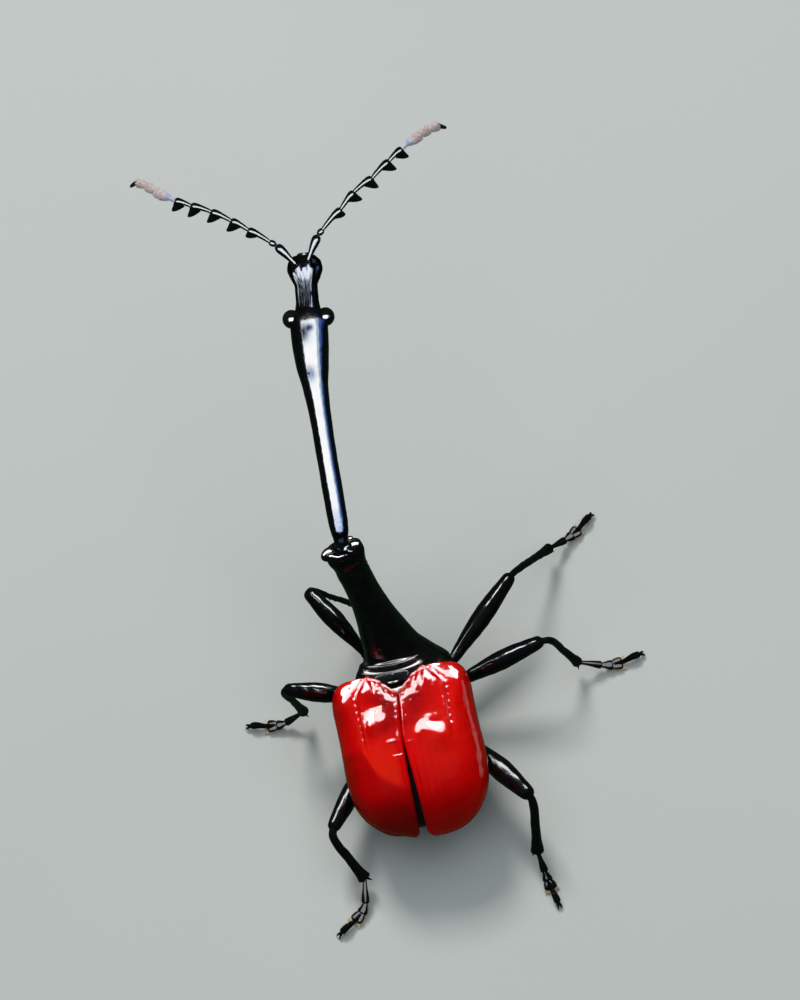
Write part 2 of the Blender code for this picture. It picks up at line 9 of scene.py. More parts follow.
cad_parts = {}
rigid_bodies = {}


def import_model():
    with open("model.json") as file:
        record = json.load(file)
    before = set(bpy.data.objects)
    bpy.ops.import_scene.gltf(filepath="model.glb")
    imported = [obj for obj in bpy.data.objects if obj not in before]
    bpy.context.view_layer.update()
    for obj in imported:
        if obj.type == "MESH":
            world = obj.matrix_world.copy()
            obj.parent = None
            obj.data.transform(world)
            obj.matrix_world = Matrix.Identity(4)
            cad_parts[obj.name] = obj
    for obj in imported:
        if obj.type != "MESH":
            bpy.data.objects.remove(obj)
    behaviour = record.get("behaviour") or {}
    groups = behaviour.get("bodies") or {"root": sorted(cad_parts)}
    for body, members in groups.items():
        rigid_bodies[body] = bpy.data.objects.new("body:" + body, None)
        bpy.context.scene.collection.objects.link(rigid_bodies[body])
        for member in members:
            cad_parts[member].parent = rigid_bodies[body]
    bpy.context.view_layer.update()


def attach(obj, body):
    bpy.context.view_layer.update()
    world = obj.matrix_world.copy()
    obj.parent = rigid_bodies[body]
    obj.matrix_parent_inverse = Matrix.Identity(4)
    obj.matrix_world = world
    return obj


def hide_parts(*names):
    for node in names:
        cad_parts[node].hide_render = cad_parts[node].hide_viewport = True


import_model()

MM = 0.001
FRAME_SHIFT = (1.2817, 8.47)
UP = np.array((0.0, 0.0, 1.0))
STEP = 0.02

# Trunk and wing cases
TRUNK_CENTRE = np.array((0.1, 0.0, 3.4))
TRUNK_PITCH = math.radians(9)
TRUNK_YAW = math.radians(3)
CASE_REAR = -2.95
CASE_FRONT = 3.95
CASE_HALF_WIDTH = [(CASE_REAR, 2.78), (-1.2, 2.92), (1.0, 2.84), (2.6, 2.82), (CASE_FRONT, 2.8)]
CASE_HEIGHT = [(CASE_REAR, 1.55), (-1.5, 1.72), (0.5, 1.78), (2.4, 1.62), (CASE_FRONT, 1.35)]
CASE_SAG = [(CASE_REAR, -0.5), (-1.8, -0.12), (0.0, 0.0), (CASE_FRONT, 0.0)]
CASE_LOWER = 1.2
CASE_SQUARE = 2.6
CASE_MARGIN = -0.45
FRONT_SQUARE = 8.0
REAR_SQUARE = 2.5
CASE_THICK = 0.16
# How far the inner rear corner stands from the suture, its rounding and the suture's opening, by side
CASE_CORNERS = {1: (0.5, 0.3, 0.85), -1: (0.3, 0.18, 0.6)}
SEAM_HALF = [(CASE_REAR, 0.2), (-2.0, 0.17), (-0.97, 0.13), (-0.1, 0.08), (0.5, 0.035), (1.1, 0.01),
    (CASE_FRONT, 0.01)]
# The back leans to the left: by how much its middle line stands beside the axis
CASE_LEAN = [(CASE_REAR, 0.28), (0.5, 0.34), (2.5, 0.17), (CASE_FRONT, 0.12)]
NOTCH_DEPTH = 0.95
NOTCH_REACH = 0.62
# Swellings: side, along, reach to the side, reach along, height
CASE_RELIEF = [
    (2.25, 2.72, 0.42, 0.78, 0.25),
    (1.25, 3.05, 0.3, 0.4, 0.07),
    (0.5, 1.25, 0.4, 0.3, -0.04),
]
# Folds on one case only: side of the body, side, along, reach to the side, reach along, height
CASE_FOLDS = [
    (-1, 1.2, 1.55, 0.4, 0.42, 0.17),
    (-1, 1.15, 2.4, 0.42, 0.32, -0.09),
    (-1, 0.75, 1.6, 0.14, 0.3, 0.05),
    (-1, 0.5, 0.75, 0.22, 0.06, 0.03),
    (-1, 0.35, 0.13, 0.28, 0.05, 0.035),
    (-1, 0.4, 0.0, 0.2, 0.05, 0.02),
    (-1, 0.75, -0.1, 0.12, 0.14, 0.02),
    (1, 1.2, 0.55, 0.42, 0.5, 0.19),
    (1, 1.0, 1.75, 0.5, 0.45, -0.08),
    (1, 1.25, 1.2, 0.2, 0.14, -0.05),
    (1, 0.72, 0.95, 0.12, 0.35, 0.05),
    (1, 0.9, 1.0, 0.3, 0.3, 0.06),
    (1, 0.3, 0.62, 0.25, 0.06, 0.02),
]
COSTA = [(0.5, 1.66), (1.4, 1.67), (2.1, 1.7), (2.75, 1.72), (3.3, 1.42), (3.75, 1.0)]
COSTA_HEIGHT = [(0.4, 0.0), (1.0, 0.04), (2.0, 0.065), (3.2, 0.08), (3.8, 0.05)]
# Rear edge of the patch of painted light on the left case, with painted shadow behind it: side, along
LIT_PATCH_EDGE = [(0.3, -1.1), (0.9, -0.82), (1.45, -0.38), (1.7, 0.1), (2.0, 0.8)]
STRIAE = 10
PUNCTURE_SPACING = 0.29
PUNCTURE_RADIUS = 0.045
PUNCTURE_DEPTH = 0.022

BELLY_REAR = -2.5
BELLY_FRONT = 3.5
BELLY_DEPTH = [(BELLY_REAR, 1.1), (-1.5, 1.5), (0.5, 1.8), (2.2, 1.72), (BELLY_FRONT, 1.5)]
VENTRITES = [-2.3, -1.75, -1.15, -0.5, 0.3]

# Prothorax
BASE = np.array((0.12, 4.24, 3.45))
RING = np.array((-1.44, 7.65, 8.5))
CONE_LENGTH = float(np.linalg.norm(RING - BASE))
CONE_START = -1.0
CONE_RADIUS = [
    (CONE_START, 2.0), (-0.6, 1.98), (-0.3, 1.86), (0.0, 1.7), (0.5, 1.45), (1.0, 1.2), (2.0, 0.97),
    (3.2, 0.76), (4.3, 0.66), (5.2, 0.65), (5.6, 0.69), (5.85, 0.74), (CONE_LENGTH, 0.7),
]
CONE_DEPTH = [
    (CONE_START, 1.1), (0.0, 1.12), (1.0, 0.98), (2.0, 0.86), (3.2, 0.74),
    (4.3, 0.65), (5.2, 0.64), (5.6, 0.68), (5.85, 0.74), (CONE_LENGTH, 0.7),
]
CONE_BACK = [
    (CONE_START, 2.25), (-0.7, 2.05), (-0.45, 1.85), (-0.2, 1.62), (0.0, 1.42), (0.5, 1.18), (1.0, 0.99),
    (2.0, 0.88), (2.6, 0.84), (3.4, 0.735), (4.3, 0.66), (5.2, 0.65), (5.6, 0.69), (5.85, 0.73),
    (CONE_LENGTH, 0.69),
]
# Lobes of the ring: angle in degrees from the right side over the back, height
RING_LOBES = [(160, 0.14), (105, 0.05), (15, 0.13), (60, -0.06), (230, 0.05), (300, 0.06)]
# Knobs on the ring: angle, distance from its middle, place past its edge, size
RING_KNOBS = [(188, 0.57, 0.05, 0.38), (50, 0.58, 0.12, 0.38), (345, 0.4, 0.16, 0.22)]
KNOB_AXIS = np.array((0.0, 0.23, 0.973))
SOCKET_DEPTH = 0.45

# Neck, head and rostrum
HEAD_AXIS = [
    (-1.45, 7.77, 8.7), (-1.49, 12.7, 10.82), (-1.48, 14.41, 11.57),
    (-1.34, 16.17, 12.35), (-1.13, 18.42, 13.35),
]
TIP = 11.62
EYE_PLACE = 9.15
HEAD_WIDTH = [
    (0.0, 0.27), (0.25, 0.3), (0.55, 0.36), (1.0, 0.4), (4.4, 0.42), (5.4, 0.45), (6.3, 0.51), (7.2, 0.65),
    (8.1, 0.73),
    (8.5, 0.75), (8.95, 0.76), (9.25, 0.72), (9.5, 0.52), (9.9, 0.46), (10.4, 0.46), (10.75, 0.6),
    (11.1, 0.71), (11.4, 0.66), (TIP, 0.46),
]
HEAD_HEIGHT = [
    (0.0, 0.27), (0.25, 0.3), (0.55, 0.36), (1.0, 0.39), (4.4, 0.41), (6.3, 0.46), (8.1, 0.58),
    (8.95, 0.56),
    (9.35, 0.5), (9.6, 0.41), (10.4, 0.33), (11.1, 0.33), (TIP, 0.22),
]
EYE_RADIUS = 0.38
EYE_SIDE = 0.69
MANDIBLE_LENGTH = 0.14

# Feelers: marks from the root of the scape to the tip of the club
FEELERS = {
    "right": [
        (-0.97, 18.08, 13.72), (-0.45, 18.91, 14.05), (0.62, 19.74, 14.35), (1.24, 20.32, 14.5),
        (2.04, 20.75, 14.6), (2.81, 21.35, 14.65), (3.4, 21.78, 14.65), (3.85, 22.08, 14.6),
        (4.38, 22.43, 14.5), (4.98, 22.65, 14.35), (5.31, 22.59, 14.2),
    ],
    "left": [
        (-1.54, 17.99, 13.72), (-2.16, 18.75, 14.05), (-3.17, 19.47, 14.35), (-3.78, 19.91, 14.5),
        (-4.51, 20.39, 14.6), (-5.27, 20.76, 14.65), (-5.87, 21.08, 14.65), (-6.28, 21.36, 14.6),
        (-6.78, 21.89, 14.5), (-7.27, 22.26, 14.35), (-7.58, 22.2, 14.2),
    ],
}
TOOTH_LENGTHS = (0.22, 0.4, 0.4, 0.4, 0.36)

# Legs: the root in the body, the hip, knee, ankle, instep and toe
LEGS = {
    "front_right": [
        (0.6, 3.95, 2.3), (1.74, 4.2, 1.85), (5.08, 7.54, 3.0),
        (6.84, 9.28, 0.9), (7.87, 9.95, 0.3), (8.73, 10.69, 0.1),
    ],
    "front_left": [
        (-0.55, 4.3, 2.7), (-1.15, 5.35, 2.3), (-3.13, 7.75, 4.2),
        (-1.23, 8.12, 0.9), (-0.84, 8.84, 0.3), (-0.65, 9.65, 0.1),
    ],
    "mid_right": [
        (0.9, 2.76, 2.57), (1.82, 3.58, 1.9), (5.87, 4.42, 3.3),
        (7.23, 4.2, 0.85), (8.7, 4.08, 0.3), (9.81, 4.36, 0.1),
    ],
    "mid_left": [
        (-0.9, 2.76, 2.57), (-1.53, 3.71, 1.9), (-4.6, 3.75, 4.1),
        (-4.09, 3.92, 0.9), (-4.96, 3.74, 0.3), (-6.34, 3.91, 0.1),
    ],
    "hind_right": [
        (1.0, 1.1, 2.4), (2.12, 1.5, 1.7), (4.42, -1.96, 3.1),
        (4.39, -3.55, 0.8), (4.63, -4.67, 0.3), (4.89, -5.68, 0.1),
    ],
    "hind_left": [
        (-0.9, 1.2, 2.4), (-1.4, 1.75, 1.25), (-3.6, -1.78, 2.35),
        (-2.67, -3.54, 0.8), (-2.89, -4.66, 0.3), (-3.94, -5.5, 0.1),
    ],
}
COXA_RADIUS = [(0.0, 0.55), (0.6, 0.46), (1.0, 0.27)]
FEMUR_RADIUS = [
    (-0.05, 0.12), (0.0, 0.17), (0.12, 0.2), (0.3, 0.29), (0.6, 0.4), (0.82, 0.34), (0.95, 0.28),
    (1.04, 0.23),
]
FEMUR_BOW = 0.08
# The shin runs on past the knee before it bends down: by how far on each leg
KNEE_REACH = {"mid_right": 0.22, "hind_left": 0.22, "hind_right": 0.12, "mid_left": 0.1, "front_left": 0.1,
              "front_right": 0.06}
FEMUR_THICKNESS = {"hind_right": 1.14}
SHIN_THICKNESS = {"hind_left": 1.2, "hind_right": 1.22, "front_left": 0.75}
TARSUS_LIFTS = [(0.2, 0.62), (0.4, 0.36), (0.6, 0.2), (0.75, 0.2), (0.88, 0.26), (1.0, 0.19)]


def unit(vectors):
    vectors = np.asarray(vectors, float)
    return vectors / np.maximum(np.linalg.norm(vectors, axis=-1, keepdims=True), 1e-12)


def turned(way, angle, axis=UP):
    """A vector turned about an axis."""
    matrix = Matrix.Rotation(angle, 3, Vector(axis))
    return np.array(matrix @ Vector(way))


TRUNK_SIDE = turned((1, 0, 0), TRUNK_YAW)
TRUNK_AXIS = turned(turned((0, 1, 0), TRUNK_PITCH, (1, 0, 0)), TRUNK_YAW)
TRUNK_BACK = turned(turned((0, 0, 1), TRUNK_PITCH, (1, 0, 0)), TRUNK_YAW)


def through(points, rounded=False):
    """A smooth function through (place, value) points; without `rounded` it never overshoots."""
    places, values = np.array(points, float).T
    steps = np.diff(values) / np.diff(places)
    before, after = steps[:-1], steps[1:]
    if rounded:
        inner = (before + after) / 2
    else:
        same = before * after > 0
        inner = np.where(same, 2 * before * after / np.where(same, before + after, 1), 0)
    slopes = np.concatenate([steps[:1], inner, steps[-1:]])

    def value(place):
        place = np.clip(place, places[0], places[-1])
        start = np.clip(np.searchsorted(places, place, side="right") - 1, 0, len(steps) - 1)
        span = places[start + 1] - places[start]
        s = (place - places[start]) / span
        step = values[start + 1] - values[start]
        bend = slopes[start] * s * (1 - s) ** 2 - slopes[start + 1] * s * s * (1 - s)
        return values[start] + step * s * s * (3 - 2 * s) + span * bend

    return value


def path(points):
    """A smooth line through points as a function of distance, run on straight past its ends."""
    points = np.array(points, float)
    lengths = np.linalg.norm(np.diff(points, axis=0), axis=1)
    places = np.concatenate([[0], np.cumsum(lengths)])
    axes = [through(np.column_stack([places, points[:, axis]]), rounded=True) for axis in range(3)]
    total = places[-1]
    first = unit(points[1] - points[0])
    last = unit(points[-1] - points[-2])

    def point_at(place):
        place = np.asarray(place, float)
        inside = np.stack([axis(place) for axis in axes], axis=-1)
        past_start = np.minimum(place, 0)[..., None] * first
        past_end = np.maximum(place - total, 0)[..., None] * last
        return inside + past_start + past_end

    return point_at, total


def direction(line, place):
    place = np.asarray(place, float)
    return unit(line(place + STEP) - line(place - STEP))


def bowed(start, end, bow, aside=(0, 0, 0)):
    """A line from start to end that rises by the bow in its middle and swings aside."""
    start, end = np.array(start, float), np.array(end, float)
    length = float(np.linalg.norm(end - start))
    way = (end - start) / length
    lift = np.cross(unit(np.cross(way, UP)), way) * bow + np.array(aside, float)

    def line(place):
        place = np.asarray(place, float)
        share = np.clip(place / length, 0, 1)[..., None]
        return start + way * place[..., None] + lift * 4 * share * (1 - share)

    return line, length


def bump(value, middle, reach):
    return np.exp(-((value - middle) / reach) ** 2)


def rise(value, start, end):
    """A smooth step from 0 at start to 1 at end."""
    share = np.clip((value - start) / (end - start), 0, 1)
    return share * share * (3 - 2 * share)


def ripple(points, scale, seed, waves=14):
    """Smooth noise about a scale in size, made of waves in seeded directions."""
    rng = np.random.default_rng(seed)
    total = 0
    for _ in range(waves):
        way = unit(rng.normal(size=3)) * 2 * math.pi / scale * rng.uniform(0.6, 1.5)
        total = total + np.sin(points @ way + rng.uniform(0, 2 * math.pi))
    return total / math.sqrt(waves)


def spread(values, square):
    return np.sign(values) * np.abs(values) ** (2 / square)


class Shape:
    """Points, faces and two tones a point (painted shade and painted light), gathered for one piece."""

    def __init__(self):
        self.points = []
        self.faces = []
        self.tones = []
        self.patches = []
        self.count = 0

    def add(self, points, faces, tones=None, patch=None):
        points = np.asarray(points, float).reshape(-1, 3)
        for face in faces:
            self.faces += (face + self.count).tolist()
        self.points.append(points)
        self.tones.append(np.zeros((len(points), 2)) if tones is None else np.reshape(tones, (-1, 2)))
        self.patches.append(np.zeros((len(points), 2)) if patch is None else patch)
        self.count += len(points)

    def add_grid(self, grid, tones=None):
        """A sheet of rows of points."""
        rows, columns = grid.shape[:2]
        index = np.arange(rows * columns).reshape(rows, columns)
        quads = np.stack([index[:-1, :-1], index[:-1, 1:], index[1:, 1:], index[1:, :-1]], axis=-1)
        self.add(grid, [quads.reshape(-1, 4)], tones)

    def add_tube(self, rings, tones=None):
        """Closed rings of points, with a cap at each end."""
        rows, sides = rings.shape[:2]
        index = np.arange(rows * sides).reshape(rows, sides)
        after = np.roll(index, -1, axis=1)
        quads = np.stack([index[:-1], index[1:], after[1:], after[:-1]], axis=-1).reshape(-1, 4)
        first, last = rows * sides, rows * sides + 1
        start = np.stack([np.full(sides, first), index[0], after[0]], axis=-1)
        end = np.stack([np.full(sides, last), after[-1], index[-1]], axis=-1)
        points = np.concatenate([rings.reshape(-1, 3), [rings[0].mean(0), rings[-1].mean(0)]])
        if tones is not None:
            tones = np.concatenate([tones.reshape(-1, 2), np.zeros((2, 2))])
        self.add(points, [quads, start, end], tones)


def sweep(line, places, width, height, depth=None, up=UP, sides=40, square=2.0, relief=None):
    """Rings of points round a line; sizes are numbers for each place, the section a superellipse."""
    places = np.asarray(places, float)
    centre = line(places)
    tangent = direction(line, places)
    side = unit(np.cross(tangent, up))
    top = np.cross(side, tangent)
    angle = np.arange(sides) * 2 * math.pi / sides
    across = spread(np.cos(angle), square)
    lift = spread(np.sin(angle), square)
    width, height = np.broadcast_to(width, places.shape), np.broadcast_to(height, places.shape)
    depth = height if depth is None else np.broadcast_to(depth, places.shape)
    reach = np.where(lift > 0, height[:, None], depth[:, None])
    offset = side[:, None] * (across * width[:, None])[..., None] + top[:, None] * (lift * reach)[..., None]
    rings = centre[:, None] + offset
    if relief is not None:
        rings = rings + unit(offset) * relief(places[:, None], angle[None, :], rings)[..., None]
    return rings


def domed(length, start, end, step, start_round=None, end_round=None):
    """Places along a body from -start to length + end, and the share of its section at each.

    The ends close as half ellipses as long as the rounding.
    """
    start_round = start_round or start
    end_round = end_round or end
    turn = np.linspace(0, math.pi / 2, 9)
    low, high = -start, length + end
    head = low + start_round * (1 - np.cos(turn))
    tail = high - end_round * (1 - np.cos(turn[::-1]))
    count = max(2, int((tail[0] - head[-1]) / step))
    places = np.concatenate([head, np.linspace(head[-1], tail[0], count + 1)[1:-1], tail])
    from_start = np.clip((places - low) / start_round, 0, 1)
    from_end = np.clip((high - places) / end_round, 0, 1)
    share = np.sqrt(1 - (1 - from_start) ** 2) * np.sqrt(1 - (1 - from_end) ** 2)
    return places, np.maximum(share, 1e-3)


def rod(shape, line, length, radius, start=0.0, end=0.0, start_round=0.1, end_round=0.1,
        step=0.05, flat=1.0, sides=32, relief=None, up=UP):
    """A round-ended limb along a line, its radius given by shares of its length."""
    places, share = domed(length, start, end, step, start_round, end_round)
    size = through(radius)(places / length) * share
    rings = sweep(line, places, size, size * flat, up=up, sides=sides, relief=relief)
    shape.add_tube(rings)


def thorn(shape, root, tip, radius, bend=(0, 0, 0), sides=12, rings=10):
    """A pointed, bent cone."""
    root, tip = np.array(root, float), np.array(tip, float)
    middle = (root + tip) / 2 + np.array(bend, float)
    line, length = path([root, middle, tip])
    share = np.linspace(0, 1, rings)
    size = radius * (1 - share ** 1.6) + radius * 0.08
    shape.add_tube(sweep(line, share * length, size, size, sides=sides))


def to_model(points):
    out = np.empty_like(points)
    out[:, 0] = (FRAME_SHIFT[0] - points[:, 0]) * MM
    out[:, 1] = (FRAME_SHIFT[1] - points[:, 1]) * MM
    out[:, 2] = points[:, 2] * MM
    return out


def piece(name, shape, material, nodes=(), solid=True):
    """Make a mesh object of a shape, in the model's frame."""
    mesh = bpy.data.meshes.new(name)
    points = np.concatenate(shape.points)
    points[:, 2] = np.maximum(points[:, 2], 0)
    mesh.from_pydata(to_model(points).tolist(), [], shape.faces)
    tones = np.concatenate(shape.tones).astype(np.float32)
    # The two tones are painted shade and painted light, kept as point attributes.
    for name_of_tone, values in (("dark", tones[:, 0]), ("glow", tones[:, 1])):
        if values.any():
            mesh.attributes.new(name_of_tone, "FLOAT", "POINT").data.foreach_set("value", values)
    body = bmesh.new()
    body.from_mesh(mesh)
    bmesh.ops.remove_doubles(body, verts=body.verts, dist=1e-7)
    if solid:
        bmesh.ops.recalc_face_normals(body, faces=body.faces)
    body.to_mesh(mesh)
    body.free()
    mesh.shade_smooth()
    mesh.materials.append(material)
    made = bpy.data.objects.new(name, mesh)
    bpy.context.scene.collection.objects.link(made)
    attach(made, "root")
    if nodes:
        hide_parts(*nodes)
    return made


def new_material(name, colour, roughness, **sockets):
    """A Principled material; sockets holds other values of the shader by name."""
    material = bpy.data.materials.new(name)
    material.use_nodes = True
    shader = material.node_tree.nodes["Principled BSDF"]
    shader.inputs["Base Color"].default_value = (*colour, 1)
    shader.inputs["Roughness"].default_value = roughness
    for socket, value in sockets.items():
        shader.inputs[socket.replace("_", " ")].default_value = value
    return material, material.node_tree, shader


def link_noise(tree, scale, detail=4.0, stretch=(1, 1, 1)):
    """Noise in object space; the scale counts features in a millimetre."""
    place = tree.nodes.new("ShaderNodeTexCoord")
    mapping = tree.nodes.new("ShaderNodeMapping")
    mapping.inputs["Scale"].default_value = [value / MM for value in stretch]
    noise = tree.nodes.new("ShaderNodeTexNoise")
    noise.inputs["Scale"].default_value = scale
    noise.inputs["Detail"].default_value = detail
    tree.links.new(place.outputs["Object"], mapping.inputs["Vector"])
    tree.links.new(mapping.outputs["Vector"], noise.inputs["Vector"])
    return noise, mapping


def link_ramp(tree, value, stops):
    ramp = tree.nodes.new("ShaderNodeValToRGB")
    elements = ramp.color_ramp.elements
    while len(elements) < len(stops):
        elements.new(0.5)
    for element, (place, colour) in zip(elements, stops):
        element.position = place
        element.color = (*colour, 1)
    tree.links.new(value, ramp.inputs["Fac"])
    return ramp.outputs["Color"]


def link_range(tree, value, low, high):
    change = tree.nodes.new("ShaderNodeMapRange")
    change.inputs["To Min"].default_value = low
    change.inputs["To Max"].default_value = high
    tree.links.new(value, change.inputs["Value"])
    return change.outputs["Result"]


def link_bump(tree, shader, height, distance, strength=1.0, before=None):
    bumps = tree.nodes.new("ShaderNodeBump")
    bumps.inputs["Distance"].default_value = distance * MM
    bumps.inputs["Strength"].default_value = strength
    tree.links.new(height, bumps.inputs["Height"])
    if before is not None:
        tree.links.new(before, bumps.inputs["Normal"])
    tree.links.new(bumps.outputs["Normal"], shader.inputs["Normal"])
    return bumps.outputs["Normal"]


def link_pits(tree, mapping, scale, size=0.32):
    """Small round pits scattered in object space, as a height from 0 to 1."""
    cells = tree.nodes.new("ShaderNodeTexVoronoi")
    cells.inputs["Scale"].default_value = scale
    cells.inputs["Randomness"].default_value = 0.85
    tree.links.new(mapping.outputs["Vector"], cells.inputs["Vector"])
    change = tree.nodes.new("ShaderNodeMapRange")
    change.interpolation_type = "SMOOTHSTEP"
    change.inputs["From Max"].default_value = size
    tree.links.new(cells.outputs["Distance"], change.inputs["Value"])
    return change.outputs["Result"]


def black_cuticle(name="black_cuticle", roughness=(0.1, 0.2), pit_depth=0.005, pit_scale=7.0):
    """Polished black shell with fine pits and faint wrinkles."""
    material, tree, shader = new_material(name, (0.003, 0.0035, 0.004), 0.15)
    noise, mapping = link_noise(tree, 2.2, 5.0)
    colour = link_ramp(tree, noise.outputs["Fac"], [
        (0.35, (0.0015, 0.002, 0.0025)), (0.6, (0.0035, 0.0042, 0.004)), (0.75, (0.007, 0.0055, 0.004))])
    tree.links.new(colour, shader.inputs["Base Color"])
    fine, _ = link_noise(tree, 12.0, 3.0)
    tree.links.new(link_range(tree, fine.outputs["Fac"], *roughness), shader.inputs["Roughness"])
    pits = link_pits(tree, mapping, pit_scale)
    normal = link_bump(tree, shader, pits, pit_depth, 0.5)
    link_bump(tree, shader, fine.outputs["Fac"], 0.0012, 0.5, before=normal)
    return material


def mix_by(tree, name, first, second):
    """Mix two colours by one of the mesh's tones."""
    tone = tree.nodes.new("ShaderNodeAttribute")
    tone.attribute_name = name
    mix = tree.nodes.new("ShaderNodeMix")
    mix.data_type = "RGBA"
    tree.links.new(tone.outputs["Fac"], mix.inputs["Factor"])
    tree.links.new(first, mix.inputs[6])
    mix.inputs[7].default_value = (*second, 1)
    return mix.outputs[2]


def head_cuticle():
    """Polished black shell whose mirrored sky is set by painted reflection: white, blue where painted light tints
    it, hardly any where painted shade dims it.
    """
    material = black_cuticle("head_cuticle", (0.09, 0.15), 0.003, 9.0)
    tree = material.node_tree
    noise, _ = link_noise(tree, 1.1, 3.0)
    colour = link_ramp(tree, noise.outputs["Fac"], [(0.42, (1, 1, 1)), (0.66, (0.88, 0.93, 1))])
    # Painted reflection: the tones tint the mirrored sky blue or dim it almost to nothing.
    with_painted_light = mix_by(tree, "glow", colour, (0.4, 0.52, 0.85))
    with_painted_shade = mix_by(tree, "dark", with_painted_light, (0.02, 0.03, 0.05))
    tree.links.new(with_painted_shade, tree.nodes["Principled BSDF"].inputs["Specular Tint"])
    return material


def red_cuticle():
    """Polished red shell: orange red where light is painted on, dark red where shade is painted on, as towards
    the rear and where the shell turns under.
    """
    material, tree, shader = new_material(
        "red_cuticle", (0.7, 0.001, 0.001), 0.2, Coat_Weight=0.1, Coat_Roughness=0.05,
        Specular_IOR_Level=0.2)
    noise, mapping = link_noise(tree, 0.5, 4.0)
    colour = link_ramp(tree, noise.outputs["Fac"], [
        (0.3, (0.68, 0.0004, 0.0004)), (0.55, (0.84, 0.0006, 0.0005)), (0.75, (0.96, 0.001, 0.0005))])
    # Painted light turns the lit zones orange red; painted shade turns the shaded zones dark red.
    with_painted_light = mix_by(tree, "glow", colour, (1.0, 0.014, 0.001))
    with_painted_shade = mix_by(tree, "dark", with_painted_light, (0.04, 0.0003, 0.0004))
    tree.links.new(with_painted_shade, shader.inputs["Base Color"])
    fine, _ = link_noise(tree, 8.0, 4.0)
    tree.links.new(link_range(tree, fine.outputs["Fac"], 0.08, 0.17), shader.inputs["Roughness"])
    normal = link_bump(tree, shader, link_pits(tree, mapping, 5.0, 0.2), 0.004, 0.4)
    link_bump(tree, shader, fine.outputs["Fac"], 0.002, 0.5, before=normal)
    return material


def plain_kind(name, low, high, roughness, scale, grain, **sockets):
    """A matt or soft surface whose colour wanders between two tones."""
    material, tree, shader = new_material(name, low, roughness, **sockets)
    noise, _ = link_noise(tree, scale, 4.0)
    colour = link_ramp(tree, noise.outputs["Fac"], [(0.35, low), (0.65, high)])
    tree.links.new(colour, shader.inputs["Base Color"])
    fine, _ = link_noise(tree, scale * 5, 3.0)
    link_bump(tree, shader, fine.outputs["Fac"], grain, 0.7)
    return material


def eye_material():
    """Polished black with fine facets."""
    material, tree, shader = new_material("eye_black", (0.004, 0.004, 0.005), 0.08, Coat_Weight=0.5)
    noise, mapping = link_noise(tree, 1.5, 2.0)
    colour = link_ramp(tree, noise.outputs["Fac"],
        [(0.4, (0.003, 0.003, 0.004)), (0.7, (0.014, 0.009, 0.007))])
    tree.links.new(colour, shader.inputs["Base Color"])
    link_bump(tree, shader, link_pits(tree, mapping, 26.0, 0.7), 0.006, 0.35)
    return material


def trunk_point(side, along, lift):
    side, along, lift = (np.asarray(value, float)[..., None] for value in (side, along, lift))
    return TRUNK_CENTRE + TRUNK_SIDE * side + TRUNK_AXIS * along + TRUNK_BACK * lift


def blunt_share(place, rear, front):
    """Share of the full section that a blunt-ended body has at a place."""
    share = (place - (rear + front) / 2) / ((front - rear) / 2)
    power = np.where(share > 0, FRONT_SQUARE, REAR_SQUARE)
    return np.maximum(0.0, 1 - np.abs(share) ** power) ** (1 / power)


def case_places(step=0.03):
    """Places of the rings of a wing case, evenly spread over its rear end and its top."""
    middle, reach = (CASE_REAR + CASE_FRONT) / 2, (CASE_FRONT - CASE_REAR) / 2
    dense = middle + reach * np.sin(np.linspace(-math.pi / 2, math.pi / 2, 8001))
    width = 2.8 * blunt_share(dense, CASE_REAR, CASE_FRONT)
    length = np.concatenate([[0], np.cumsum(np.hypot(np.diff(dense), np.diff(width)))])
    count = int(length[-1] / step)
    even = np.interp(np.linspace(0, length[-1], count + 1), length, dense)
    share = blunt_share(even, CASE_REAR, CASE_FRONT)
    index = np.arange(len(even))
    keep = (share > 0.8) | (even < middle) | (index % 12 == 0) | (index == count)
    return even[keep]


def puncture_rows(reach, along):
    """Depth of the rows of pits on a wing case; reach counts millimetres out from the suture."""
    across = (reach - 0.16) / 0.29
    row = np.clip(np.round(across), 0, STRIAE)
    wave = np.sin(row * 12.9898) * 43758.5453
    step = along / PUNCTURE_SPACING + wave - np.floor(wave)
    pit = np.round(step)
    chance = np.sin(pit * 78.233 + row * 37.719) * 43758.5453
    chance = chance - np.floor(chance)
    dx = (across - row - (chance - 0.5) * 0.3) * 0.29
    dy = (step - pit - (chance - 0.5) * 0.3) * PUNCTURE_SPACING
    size = PUNCTURE_RADIUS * (0.7 + 0.5 * chance)
    pits = np.exp(-(dx ** 2 + dy ** 2) / size ** 2) * (0.3 + chance)
    groove = 0.12 * np.exp(-(dx / 0.05) ** 2)
    strong = np.where(row == 0, 0.6, 0.35)
    return -(pits + groove) * PUNCTURE_DEPTH * strong


